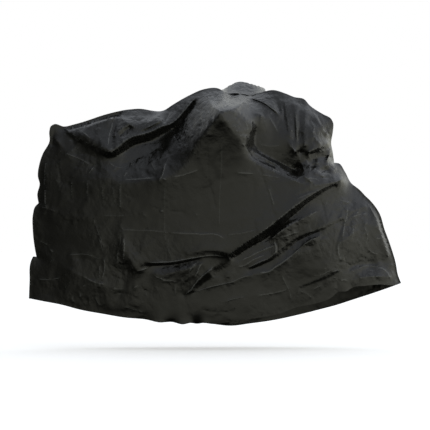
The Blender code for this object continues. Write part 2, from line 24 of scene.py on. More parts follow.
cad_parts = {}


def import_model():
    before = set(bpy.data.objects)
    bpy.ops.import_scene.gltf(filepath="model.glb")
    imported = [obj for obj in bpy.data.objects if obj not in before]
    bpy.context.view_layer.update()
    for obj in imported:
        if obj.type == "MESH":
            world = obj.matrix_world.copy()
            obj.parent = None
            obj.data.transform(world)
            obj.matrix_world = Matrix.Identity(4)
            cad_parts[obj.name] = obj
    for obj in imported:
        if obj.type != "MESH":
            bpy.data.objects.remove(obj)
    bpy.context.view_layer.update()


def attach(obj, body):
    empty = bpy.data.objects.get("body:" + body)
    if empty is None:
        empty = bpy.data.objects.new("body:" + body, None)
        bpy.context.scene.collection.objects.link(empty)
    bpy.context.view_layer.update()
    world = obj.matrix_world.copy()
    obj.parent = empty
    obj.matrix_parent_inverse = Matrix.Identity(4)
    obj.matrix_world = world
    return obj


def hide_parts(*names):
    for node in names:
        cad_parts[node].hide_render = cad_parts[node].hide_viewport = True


LOG = logging.getLogger("bicycle_cover")

Line = tuple[tuple[float, ...], ...]
Array = np.ndarray
Colour = tuple[float, float, float]
Stops = tuple[tuple[float, Colour], ...]  # the value and the colour at each stop of a ramp

CM = 0.01  # metres
MM = 0.1  # centimetres
MOUNT_HEIGHT = 118.0  # the frame's origin above the ground
FLANGE = 1.6  # width of the welded flange
VIEW_HEIGHT = 62.08  # the camera's height above the ground
VIEW_DISTANCE = 1200.0  # from the camera to the seam's plane
VIEW_PIXELS = 430  # the photograph's width
PIXEL = 0.00465  # what one of its pixels spans at the cover, metres
SHARP_TURN = 48.0  # degrees; a line keeps its corner where it turns more than this
STEEP = 0.55  # a normal that faces out of the sheet by no more than this is on a steep wall
STEEP_FADE = 0.3  # and one that does so by this much more is on a gentle slope
WHITE = (1.0, 1.0, 1.0, 1.0)


class Crease(NamedTuple):
    """A short sharp line worked into the film."""

    rise: float  # millimetres out of the film, or into it where negative
    left: float  # how far it falls away on the left of its line
    right: float  # and on the right
    line: Line  # (x, height)


class Zone(NamedTuple):
    """A place where something is done to the film, and most so in its middle."""

    x: float
    height: float
    reach_x: float
    reach_height: float
    gain: float


def creases(*rows: tuple[float | tuple[float, float], ...]) -> tuple[Crease, ...]:
    """Creases from rows of a rise, how far it falls away on each side, and the line's points."""
    return tuple(Crease(rise, left, right, tuple(line)) for rise, left, right, *line in rows)


# The seam, as (x, height), from the rear corner of the hem up, over the top and down the front.
REAR_EDGE: Line = (
    (-86.5, 23.3), (-86.2, 31), (-85.6, 40.5), (-84.6, 42.8), (-83, 42.7), (-83.9, 47.5), (-84.7, 55),
    (-84.6, 62.5), (-83.6, 66), (-82, 67.6), (-82.6, 71.5), (-81.5, 76.8), (-82.3, 79.8), (-81.8, 85),
    (-80.2, 90.2), (-76.9, 96.6), (-77, 101), (-76.3, 103.4),
)
REAR_TOP: Line = (
    (-74.8, 104.3), (-70, 103.2), (-66, 104.1), (-60, 105.8), (-52, 108.5), (-45, 110.3), (-36, 111.4),
    (-23.4, 110.8), (-20, 113), (-12, 117.6), (-5.5, 120.4), (1, 121),
)
CROWN_SEAM: Line = ((6, 118.4), (13, 118), (16.5, 117.3), (21, 118.8))
CROWN_FAR: Line = ((6, 123.6), (11.8, 126.6), (16.5, 125), (21, 122.8))
CROWN_DEPTH = 12.0  # how far out the film no longer follows the dip of the seam
FRONT_TOP: Line = (
    (27, 120.1), (33, 118.4), (37, 116.8), (41.2, 116), (44, 113), (50, 109), (54, 106.7), (54.8, 105.2),
)
FRONT_EDGE: Line = (
    (54.7, 100.8), (53.9, 95.4), (54.6, 91.5), (55.3, 86.3), (57.6, 86), (60.2, 82.4), (63.4, 76.7),
    (67, 74), (70.3, 70.6), (72, 69), (76.6, 62.6), (78.8, 55.5), (81.2, 49), (84.1, 39.5), (85, 34.5),
    (86.5, 30.4),
)

# The open lower edge, as (x, height, depth), from the front corner to the rear corner.
NEAR_HEM: Line = (
    (83, 29.5, 2.9), (77, 29.8, 6.4), (70, 29.2, 8.8), (63.2, 28, 10), (61.8, 26.9, 10.6), (57, 26.2, 11.6),
    (54, 23.6, 12.6), (47, 21, 14.2), (38, 19.2, 15.4), (30, 16.2, 16.2), (18, 14, 16.8), (8, 12.6, 16.6),
    (-1, 11.4, 16.2), (-5.6, 11.9, 16), (-8.2, 11.6, 14.4), (-11.2, 11.9, 15.8), (-15, 11.2, 16.4),
    (-20, 12.4, 14.9), (-25.8, 12.1, 15.6), (-32, 13.5, 14.2), (-42, 14.4, 13.4), (-52, 16.1, 11.4),
    (-62, 17.9, 9.2), (-72, 20.5, 6.4), (-80, 22, 3.4),
)
FAR_HEM: Line = (
    (80, 28, 3.4), (73, 25.6, 6.8), (65, 23, 10.2), (56, 20.1, 13), (48, 18, 14.8), (38, 15.5, 16.4),
    (26, 13, 17.2), (16, 11.6, 17.2), (8, 10.6, 16.8), (-4, 11.8, 15.6), (-14, 12.3, 16.6), (-26, 13.6, 15),
    (-38, 14.6, 14.6), (-50, 16.6, 11.6), (-62, 18.4, 9.6), (-74, 21.2, 5.6), (-81, 22.6, 2.8),
)

# The folds of the near panel: a name, and the line's (x, height, depth).
NEAR_FOLDS: dict[str, Line] = {
    # the low peak at the rear
    "roof_edge": (
        (-70, 102.4, 0.9), (-66.5, 99.9, 4.6), (-62, 96.9, 8.4), (-58, 94.9, 11.2), (-54, 93.2, 13.4),
        (-50.6, 92, 15), (-48.4, 91.1, 15.8), (-46, 92.8, 15.4), (-43, 95.6, 14.4), (-38.6, 98.4, 13.4),
        (-35, 99.4, 12.8), (-30, 100.8, 12), (-25, 103.2, 10.8), (-20.2, 104.8, 9.4), (-18.2, 106.2, 8.6),
        (-14.2, 110.8, 6.6), (-10.2, 115.4, 4.4), (-7.4, 118.2, 1.6),
    ),
    "roof_groove": (
        (-65.6, 100.6, 4.1), (-61.2, 97.4, 7.6), (-57.2, 95.4, 10.3), (-53.2, 93.8, 12.7),
        (-50.4, 92.9, 14),
    ),
    "roof_welt": (
        (-66.4, 102.2, 2.4), (-62.4, 99.2, 7), (-58.2, 96.9, 10), (-54, 95, 12.4), (-50.2, 93.7, 14.3),
    ),
    "roof_streak": ((-64.2, 101.4, 3.8), (-61.4, 100.4, 6.4), (-57.6, 98.6, 9.4)),
    "roof_tongue": ((-52.8, 104.6, 5.8), (-53.4, 101.4, 8.2), (-53.2, 97.2, 11.5)),
    "roof_valley": ((-46.2, 106, 5.2), (-46.9, 103, 6.8), (-48.1, 97.6, 10.2), (-48.7, 93.8, 13.3)),
    "roof_ray": ((-47, 98.9, 11.5), (-44.2, 101.4, 10.1), (-41.6, 103.8, 8.5)),
    "roof_dip": ((-44.4, 98.8, 10.5), (-41.4, 101.2, 9), (-39.2, 103, 7.9)),
    "roof_facet": ((-43.4, 107.2, 5.4), (-40.7, 104.9, 8.2), (-36.9, 102.8, 10.2)),
    "roof_nick": ((-30.6, 109.6, 1.2), (-30.2, 108, 3.2), (-29.6, 106.4, 6.6)),
    "roll_top": (
        (-45.4, 97.4, 12), (-41.6, 99.3, 11.6), (-37, 101.7, 10.8), (-34, 103.2, 10.2), (-30, 105.5, 8.8),
        (-26.8, 108, 5.6), (-24.6, 109.8, 1.8),
    ),
    "strip_lip": ((-36.4, 100.8, 11.8), (-31.2, 102.9, 11), (-27.2, 104.9, 9.8), (-24.8, 106.2, 8.6)),
    "strip_gap": ((-35.8, 100, 11.9), (-31, 101.9, 10.3), (-27, 103.9, 9.2), (-24.4, 105.3, 8.7)),
    "strip_fold": ((-20.8, 110.4, 2), (-22.2, 107.6, 4.6), (-23.6, 105.2, 7.2)),
    "strip_crest": ((-18.8, 111.4, 2.4), (-20.4, 108.2, 5.6), (-21.8, 105.4, 8.6)),
    "roof_undercut": (
        (-69.8, 101.4, 0.8), (-66.5, 98.4, 3.2), (-62, 95.2, 6), (-58, 93, 8.4), (-53.8, 90.9, 10.4),
        (-48.8, 88.6, 11.8), (-45.2, 89.9, 11.4), (-41.6, 92.1, 9.8), (-37.6, 94.4, 8.6), (-34, 95.6, 7.8),
        (-29, 96.9, 7.2), (-23.8, 99.6, 6.6), (-19, 102.6, 6.2), (-17, 105.2, 6), (-13.4, 110.1, 4.6),
        (-9.8, 114.8, 2.7),
    ),
    "undercut_foot": (
        (-52, 83.6, 12.8), (-44, 84.6, 12.6), (-37, 87.8, 11.2), (-30, 90.8, 10.2), (-24, 93.8, 9.8),
    ),
    "rear_ridge": ((-21.2, 91.6, 16), (-23.4, 84.6, 20.2), (-24.9, 79.9, 21.8)),
    "rear_hollow": ((-25.4, 88.6, 15.6), (-27.2, 82.6, 19)),
    # the break of the slope, from the rear edge out to the high peak, and the fall below that peak
    "break": (
        (2.6, 110.2, 30), (-0.4, 106.2, 29.2), (-4.4, 100.8, 27.8), (-9.4, 94.4, 25.8), (-14.2, 86.6, 23.6),
        (-19, 80.8, 22.6), (-25, 78.6, 21.8), (-34, 78, 18.8), (-43.8, 77, 16.4), (-53, 78.5, 13.6),
        (-59.4, 80.2, 11.2), (-65, 86, 7.4), (-70, 92, 4.4), (-74.6, 97.6, 1.8),
    ),
    "break_dent": ((-58.8, 81.4, 10.2), (-57, 84, 9.4), (-55.6, 85.4, 9)),
    "peak_roof": (
        (2.6, 110.2, 30), (7.4, 111.2, 26), (10.6, 112.4, 21), (13.2, 114.6, 12.5), (15.6, 116.2, 4),
    ),
    "peak_back": ((2.6, 110.2, 30), (-1.2, 113.2, 18), (-3.4, 116.6, 7), (-3.9, 119.1, 1.8)),
    "peak_crown": ((2.6, 110.2, 30), (4, 114.2, 18.4), (5.8, 117.2, 4.4)),
    "peak_dell": ((0.2, 113.6, 14), (0.9, 116.6, 7.4), (1.6, 119, 2.6)),
    "peak_plumb": ((2.6, 110.2, 30), (2.8, 105, 29.9)),
    "peak_front": ((2.6, 110.2, 30), (5.8, 105, 29.2), (9.8, 99.4, 27.2), (13.4, 94.6, 25.2)),
    # the pocket in front of the high peak
    "pale_left": ((10.4, 110.4, 23), (10.7, 104.8, 25.6), (12, 99, 26.2), (13.4, 94.6, 25.2)),
    "pale_right": (
        (10.4, 110.4, 23), (14.2, 106.8, 21.6), (17.4, 102.9, 20), (17, 99.4, 20.2), (16.6, 96, 20.6),
    ),
    "pocket_left": ((19.8, 109, 14.6), (20, 105, 15), (18.9, 101.2, 15), (18, 97.4, 15.3), (18, 95, 15.8)),
    "pocket_crest": ((21.6, 108.4, 14.2), (21.2, 104.6, 14.6), (20.1, 101.2, 14.8)),
    "crown_edge": (
        (17.4, 116.2, 3.4), (20.4, 115.3, 6.4), (23.4, 113.9, 8.4), (26.2, 111.8, 9.6), (28.8, 109.8, 9.9),
        (30, 108, 9.9), (30.6, 104.6, 10.8), (32.2, 100.4, 12.4), (34.6, 95.6, 14.2), (37.2, 91.8, 15.4),
    ),
    "crown_undercut": (
        (17.6, 115.6, 3), (20.5, 114.7, 5.8), (23.4, 113.3, 7.6), (26, 111.2, 8.7), (28.2, 109.3, 9.2),
    ),
    "pocket_floor": (
        (18, 95, 15.2), (20.6, 91.6, 14.8), (25.4, 88.8, 14), (30.8, 86.2, 13), (35.6, 83.5, 12),
        (38.4, 81.8, 11),
    ),
    "pocket_lip": (
        (15.8, 93.6, 20.6), (19.8, 90.4, 18.2), (25.2, 87.4, 17), (30.4, 84.7, 16.4), (35.4, 81.7, 16.4),
        (38.6, 80, 16.2),
    ),
    "lip_groove": ((16.8, 90.6, 20.4), (18.4, 88.9, 18.9), (22.6, 87.2, 17.5), (27.8, 84.6, 16.6)),
    "lip_welt": ((16.4, 89.4, 21.8), (19.4, 87.6, 20.6), (23.4, 85.6, 19.6), (28, 83.6, 18.8)),
    "shelf_edge": (
        (13.4, 94.6, 25.2), (15, 90.4, 23.4), (18.4, 87, 21.8), (22.4, 84.6, 20.8), (27.6, 82.2, 20),
        (34, 79.4, 19.6), (38, 77.8, 19.4), (42, 76.2, 19), (47, 76, 17.4), (51, 76.6, 15.4),
        (55, 77.2, 12.6), (58.8, 78.4, 9.4),
    ),
    # the rounded shoulders next to the seam
    "roof_shoulder": (
        (-64.6, 102.5, 2.4), (-60, 103.6, 3.9), (-55, 105.2, 4.9), (-50, 106.6, 5.5), (-46.4, 107.5, 5.5),
    ),
    "band_shoulder": ((-17.2, 112.6, 2.6), (-12.8, 115.4, 2.4), (-9.4, 117.4, 1.8)),
    "crown_shoulder": ((28.4, 117.7, 2.4), (33.6, 116, 2.8), (38.4, 114.2, 2.8), (41.6, 112.8, 2.4)),
    # pleats and the loose front corner
    "pleat_a": ((28.6, 116.2, 3.6), (29.4, 112.6, 6.2), (30.2, 110.2, 7.8)),
    "pleat_b": ((30.4, 115.6, 4.6), (31.1, 110.4, 8.3), (31.3, 106.8, 9.8)),
    "pleat_c": (
        (31.2, 115, 4.9), (31.8, 112, 6.7), (32.1, 108, 8.8), (32.6, 104, 10.6), (33.4, 101.2, 11.9),
    ),
    "pleat_d": (
        (32.4, 114.8, 5.2), (33, 112, 7.4), (33.5, 108, 9.6), (34.1, 103.6, 11.5), (35, 98.8, 13.3),
    ),
    "pleat_e": (
        (35.6, 113.8, 5.1), (36.3, 110.6, 7.3), (36.8, 105, 9.8), (37.1, 100, 11.6), (37, 96.8, 12.9),
    ),
    "pleat_f": (
        (36.8, 113.4, 5.4), (37.5, 110.2, 7.8), (37.9, 104.8, 10.6), (38.1, 100, 12.4), (38.1, 95.6, 13.7),
    ),
    "pleat_g": ((38.4, 113, 5.2), (39, 109, 7.4), (39.3, 104, 9.6), (39.2, 99.6, 11.2), (39, 95.2, 13.2)),
    "pleat_h": ((42, 111.2, 5), (42, 105.6, 9.4), (41.8, 99, 12.5), (41.7, 94.8, 14.2)),
    "corner_brow": ((44.4, 111, 2.2), (47.4, 107, 5), (49.8, 103.2, 7), (52, 99.6, 6)),
    "corner_furrow": ((45.8, 110.4, 1.6), (48.9, 106.2, 3.2), (51, 102.2, 4.2), (52.8, 98.8, 3.2)),
    "corner_tuck": ((53.4, 104.4, 1.2), (53.5, 101.2, 2), (53.1, 98.2, 1.9)),
    "corner_belly": ((44.2, 103, 9.8), (46.6, 98, 12), (48.8, 95.2, 11.8)),
    "corner_lip": ((43.8, 91.3, 14.8), (47.8, 93.1, 12.6), (52.4, 95.5, 6.6)),
    "corner_under": ((44.2, 90.3, 11), (48.4, 92, 8.6), (52.8, 94.4, 4.2)),
    "corner_seat": ((45.4, 88, 9.6), (49.6, 88.8, 6.8), (53, 89.4, 3)),
    "seat_line": ((52.2, 87.6, 7.8), (53.4, 90.6, 4.6), (54, 92.8, 2.4)),
    "knot": ((37.2, 91.8, 15.4), (39.4, 91, 11.8), (41.6, 91.4, 12.6), (43.8, 91.3, 14.8)),
    "knot_pit": ((38.4, 81.8, 11), (39.2, 83.4, 9.4), (39.6, 84.9, 10.4)),
    "knot_roll": ((38, 89.4, 12.6), (40, 86.4, 12.8), (41.6, 82.4, 14.8)),
    "pit_b": ((43.8, 86.8, 10.6), (45.8, 85.1, 9.8), (47.8, 86.2, 10.6)),
    "pit_c": ((48.2, 84, 10.8), (50.4, 82.9, 9.8), (52.4, 83, 8)),
    "crumple_a": ((39.9, 83, 12.6), (41.8, 80.2, 16.8), (44.6, 77.8, 18.8)),
    "crumple_b": ((44.4, 83.2, 13.4), (47.4, 81.6, 14.6), (50.4, 80.2, 14.6)),
    "crumple_c": ((53, 81.4, 9.4), (55.4, 83.4, 6.6), (57.2, 84.4, 2.4)),
    "crumple_d": ((51.8, 85.2, 8.8), (54.2, 85.4, 5.8), (56.6, 83, 4.6), (59.4, 80.4, 3.4)),
    # the great diagonal swag
    "swag": (
        (-13, 44.2, 22.8), (-4, 45.6, 24.2), (2, 45.2, 24.8), (7, 43.6, 24.6), (10, 46, 24.8),
        (15, 49.6, 24.8), (20, 52.9, 24.8), (25, 56.4, 24.4), (30, 60.4, 23.8), (35, 64.4, 22.8),
        (40, 68, 21.2), (45, 71.4, 19), (50, 74.2, 16.2), (55, 76.3, 12.2),
    ),
    "swag_under": (
        (8.2, 42, 21.2), (11.8, 44.2, 20.2), (17, 47.5, 19.2), (22.6, 50.4, 18.5), (27.5, 53.9, 18.2),
        (32, 58.1, 17.9), (36.9, 62.3, 17.3), (41.5, 66.3, 16.3), (46.1, 69.9, 15), (50.7, 73.1, 13.2),
        (55.3, 75.5, 9.9),
    ),
    "swag_crease": (
        (-35.2, 39.9, 18.8), (-29, 39.7, 19.6), (-20, 40.1, 20.8), (-12, 41.5, 22), (-6, 42.5, 22.7),
        (0, 43, 23.1), (5.2, 42.2, 22.9),
    ),
    "crease_under": (
        (-33, 38.4, 18.4), (-27, 38.4, 17.8), (-20, 38.9, 18.6), (-12, 40.4, 20.6), (-7.6, 41.4, 22),
    ),
    "flank_rear": ((-72, 62, 6.8), (-62, 60.5, 10.8), (-52, 61, 13.8), (-40, 63, 16.8)),
    # below the swag
    "gusset": ((-43, 54.6, 17), (-41.4, 48.6, 18.1), (-40.2, 42.4, 18.8), (-37.4, 37, 18.5)),
    "gusset_right": ((-41.6, 54.2, 17.3), (-38.4, 47.6, 18), (-34.6, 43.2, 18.5), (-31, 40.4, 19.4)),
    "gusset_groove": ((-43.5, 53.8, 16.7), (-43.7, 46.4, 17.5)),
    "gusset_toe": ((-36, 36, 18.4), (-32.6, 36.4, 18.2), (-30, 37.8, 18)),
    "under_crest": (
        (-29, 34.6, 18.6), (-24, 34.2, 19.6), (-17, 36, 21.2), (-9, 38.4, 22.6), (-3.4, 40.6, 22.9),
    ),
    "fan_ridge": (
        (-14.6, 24.6, 17.8), (-11.6, 26.8, 19.6), (-9, 30.2, 21.2), (-6.5, 33, 22), (-3, 35.8, 22.4),
        (0, 38.3, 22.5), (3, 40, 22.4),
    ),
    "fan_valley": ((-8.4, 27.8, 19.4), (-4.4, 31, 20), (0, 34.4, 20.7), (4, 37.2, 21), (9, 39, 21)),
    "long_ridge": (
        (-10.4, 25.8, 18.6), (-4, 27.8, 19.4), (4.6, 29.9, 20), (8, 30.7, 20.2), (12, 32.6, 20.3),
        (17, 34.1, 20.2), (25, 35.6, 19.8), (28, 37.6, 19.6), (30.8, 39.4, 19.6), (35, 42.6, 19.3),
        (39.5, 46.8, 18.7), (43, 49.5, 17.9), (48, 52, 16.2),
    ),
    "rib_valley": (
        (16, 36.3, 19.4), (22, 38.9, 19.2), (28.4, 42, 18.9), (33, 45.4, 18.3), (38, 49.6, 17.3),
        (45, 53, 15.8), (51, 55.4, 13.9), (55, 57.4, 12.4), (60, 59.8, 10.2),
    ),
    "rib": (
        (15, 37.2, 19.8), (20, 39.6, 20.5), (25, 41.8, 20.5), (30, 46, 20), (36, 50.2, 18.9),
        (43, 53.8, 17.3), (49.4, 56, 15.3), (54, 58.6, 13.3), (58.6, 60.8, 11.2),
    ),
    "patch": ((26.8, 51.4, 20), (31, 55, 20.4), (37, 58.2, 19.2), (44.6, 62.6, 16.8)),
    "low_ridge": (
        (-12, 16.8, 16.8), (-3, 18.6, 17.6), (6, 22, 18.6), (20, 25.2, 18.6), (30, 27.3, 17.8),
        (35, 27.8, 17.2), (42, 29.6, 16), (50, 33.2, 14.4), (57.4, 36.6, 12.2),
    ),
    "low_line": ((40, 28.2, 15.9), (46, 30.6, 14.8), (52, 32.6, 13.3), (58.6, 36.4, 11.2)),
    "nose_groove": ((61.6, 62.2, 8.8), (65.6, 64.4, 6.6), (70, 66, 3.8)),
    "nose_rib": ((58, 49, 12.2), (64, 53, 9.8), (69.6, 57, 6.4)),
    "front_roll": (
        (72, 65.8, 2.2), (74.4, 61.4, 3.4), (76.4, 55.6, 3.8), (78.6, 49.2, 3.8), (80.6, 43.2, 3),
    ),
    "toe_groove": ((60.4, 36.6, 10.4), (66.6, 39, 7.2), (73, 39.8, 5), (81.6, 40.8, 1.8)),
    "toe_roll": ((65.4, 37.6, 8.4), (70, 38.3, 6.4), (76, 38.6, 4.4), (82.4, 39, 1.7)),
    "toe_bulge": ((67.6, 33, 9.6), (75, 33.6, 7.6), (81.4, 33.2, 4.1)),
    # rear flank and its foot
    "foot_crest": (
        (-68, 36.4, 9.2), (-60, 32.2, 11.6), (-54.6, 29.7, 13), (-49.6, 28.8, 14.2), (-41, 28.4, 15.8),
        (-30, 26.8, 17),
    ),
    "foot_groove": (
        (-66, 30, 9.3), (-58, 27.2, 11.4), (-51, 24.4, 13), (-44, 21.8, 14.2), (-36, 19.6, 15.2),
    ),
    "shin_groove": ((-48.8, 37.8, 14.4), (-44, 36.8, 15.4), (-38.6, 35.2, 16.8)),
    "heel_notch": ((-82.2, 42.9, 0.8), (-79.8, 42, 1.9), (-77.4, 41.2, 3.6)),
    "heel_crest": ((-81, 44.6, 2.2), (-78.4, 43.4, 3.3), (-75, 42.2, 4.9)),
    "calf": ((-79.6, 63, 2.6), (-79.2, 70, 2.4), (-79.2, 78, 2.2), (-78.2, 86, 2)),
}

# The folds of the far panel, in the same terms. It was pulled lower in front and hangs more freely.
FAR_FOLDS: dict[str, Line] = {
    "roof_edge": (
        (-70, 101.4, 1), (-63, 97.4, 6.6), (-55, 94.6, 11.2), (-47, 94.4, 13.4), (-38, 98, 14),
        (-29, 103.2, 13.4), (-20, 107.6, 11.6), (-11, 113.2, 8), (-4.6, 117.6, 3.2),
    ),
    "roof_undercut": (
        (-69, 99, 2.4), (-62.6, 94.8, 5.4), (-54.6, 91.8, 8.8), (-46.6, 91.6, 10), (-37.4, 95, 10.2),
        (-28, 100, 10), (-19, 104.2, 9.2), (-10, 109.6, 7), (-4, 114.6, 4.2),
    ),
    "roof_crest": ((-42, 108.4, 3.2), (-44.8, 101.6, 8.8), (-46.8, 96, 12.6)),
    "rear_ridge": ((-30, 96.8, 13.6), (-28.6, 90, 17), (-28, 82.6, 19.8)),
    "break": (
        (11.8, 121.6, 28), (6.4, 112.6, 27.6), (-1, 104, 26.2), (-9, 94.6, 24.4), (-18, 85.4, 22.2),
        (-28, 80.4, 20), (-40, 78.4, 17), (-50, 79, 14.2), (-60, 81.8, 10.8), (-67.4, 90.4, 6.8),
        (-74.4, 97.6, 2.8),
    ),
    "peak_plumb": (
        (11.8, 121.6, 28), (11.6, 108, 28.6), (10.8, 94, 28.2), (9.6, 78, 27.2), (8.4, 62, 25.6),
        (7, 52, 24.4),
    ),
    "crown_rim": (
        (3, 121.9, 7), (5.8, 122.8, 10), (8.8, 123.5, 12.2), (11.6, 124.1, 12.6), (14.5, 123.7, 12.4),
        (18, 123, 12.2), (21.6, 122.2, 11.4), (25.4, 121, 9),
    ),
    "peak_front": ((11.8, 121.6, 28), (17.6, 113, 25.4), (22.4, 104, 23.6), (26.4, 96, 22.8)),
    "crown_edge": (
        (18.6, 120.2, 20), (24.4, 116.6, 16), (30, 110, 14.4), (33, 103, 15.2), (36, 96, 16.4),
        (40, 90, 16.8),
    ),
    "crown_dell": (
        (20.6, 112, 17.6), (25.4, 106, 12.4), (29.4, 99, 12), (34, 91.4, 12.4), (37.6, 86, 12.6),
    ),
    "pleat_a": ((31, 116.4, 4), (33.8, 108, 11.4), (36.6, 99.6, 13.6), (39.6, 93.6, 13.8)),
    "pleat_b": ((34.6, 114.8, 4.6), (37, 106.6, 13.8), (39.4, 98.6, 16.2), (41.8, 93, 15.8)),
    "pleat_c": ((39, 113, 3.8), (41, 105.6, 10.2), (42.6, 98.8, 12.4), (44.2, 93.4, 12.6)),
    "corner_belly": ((46, 107, 5.8), (47.6, 100.6, 10.4), (49.4, 95, 10.6), (50.6, 89.4, 7.6)),
    "corner_furrow": ((50.6, 104.6, 3.2), (51.6, 99.4, 4.6), (52.2, 94.4, 4.2)),
    "lap": (
        (26.4, 96, 22.8), (33, 87.4, 20.6), (40, 81.4, 18.6), (47, 77.8, 15.8), (54, 77.6, 11.2),
        (58.6, 78.4, 7.4),
    ),
    "swag": (
        (-44, 52.6, 16.4), (-34, 49.4, 19), (-22, 48.8, 21.2), (-8, 50.6, 23.2), (6, 52, 24.4),
        (18, 55.6, 24.2), (29, 61, 22.6), (39, 66.6, 19.6), (48, 71.4, 15.6), (56.6, 74.6, 10.4),
    ),
    "swag_under": (
        (-43, 49.6, 14.6), (-33.6, 46.2, 15.8), (-22, 45.4, 17.4), (-8, 46.8, 19), (6.4, 48, 19.8),
        (19, 51.8, 19), (30.4, 57.2, 17.6), (40.4, 63, 15.4), (49.4, 68, 12.6), (57.4, 72, 8.6),
    ),
    "flank_rear": ((-72, 64, 6.6), (-61, 62, 10.8), (-50, 63, 13.8), (-38, 64, 17)),
    "flank_mid": ((-24, 64, 20.6), (-10, 66, 23.8)),
    "flank_front": ((16, 76, 26.2), (26, 72, 24)),
    "long_ridge": (
        (-26, 30, 17.4), (-12, 31.4, 19.2), (2, 34.8, 20.4), (16, 37, 20.2), (28, 42, 19.2),
        (39, 48.4, 17.2), (49, 52, 14.4), (58, 57.6, 10.8),
    ),
    "long_valley": (
        (-20, 34.6, 16.8), (-6, 38, 17.8), (10, 41.6, 18), (24, 46.2, 17), (37, 54, 14.8), (47, 59, 12.6),
    ),
    "low_ridge": (
        (-34, 21.8, 16), (-18, 20.6, 17.6), (0, 22.4, 18.4), (18, 24.8, 18.2), (34, 28.6, 16.2),
        (48, 34.4, 13.2), (58, 38, 10.4),
    ),
    "low_valley": ((-22, 25.6, 16), (-4, 27.4, 17.2), (14, 29.8, 17.4), (30, 34.4, 15.6), (44, 41.4, 13)),
    "nose_groove": ((60, 62, 8), (69, 66.4, 3.6)),
    "nose_rib": ((58, 47, 10.8), (66, 52, 8), (74.6, 56.4, 3.2)),
    "toe_groove": ((60, 36.4, 8), (70, 38.8, 4.8), (81.4, 40.6, 1.4)),
    "toe_roll": ((64, 32.6, 8.4), (74, 35.6, 5.6), (82.4, 36.6, 2.2)),
    "foot_crest": ((-70, 36, 8.2), (-60, 33, 11.4), (-48, 32, 14), (-36, 34, 15.8)),
    "foot_groove": ((-66, 27.4, 8.2), (-54, 25.4, 11), (-42, 26, 13.2)),
    "heel_notch": ((-80.2, 42.2, 1.6), (-75, 44, 3.6), (-69.4, 46.4, 6.4)),
    "heel_crest": ((-80.6, 38.6, 2.6), (-75.6, 39.4, 5.6), (-69, 41.4, 7.6)),
    "calf": ((-79.4, 60, 2.8), (-79.2, 70, 2.6), (-79, 80, 2.4), (-77.6, 88, 2.2)),
}

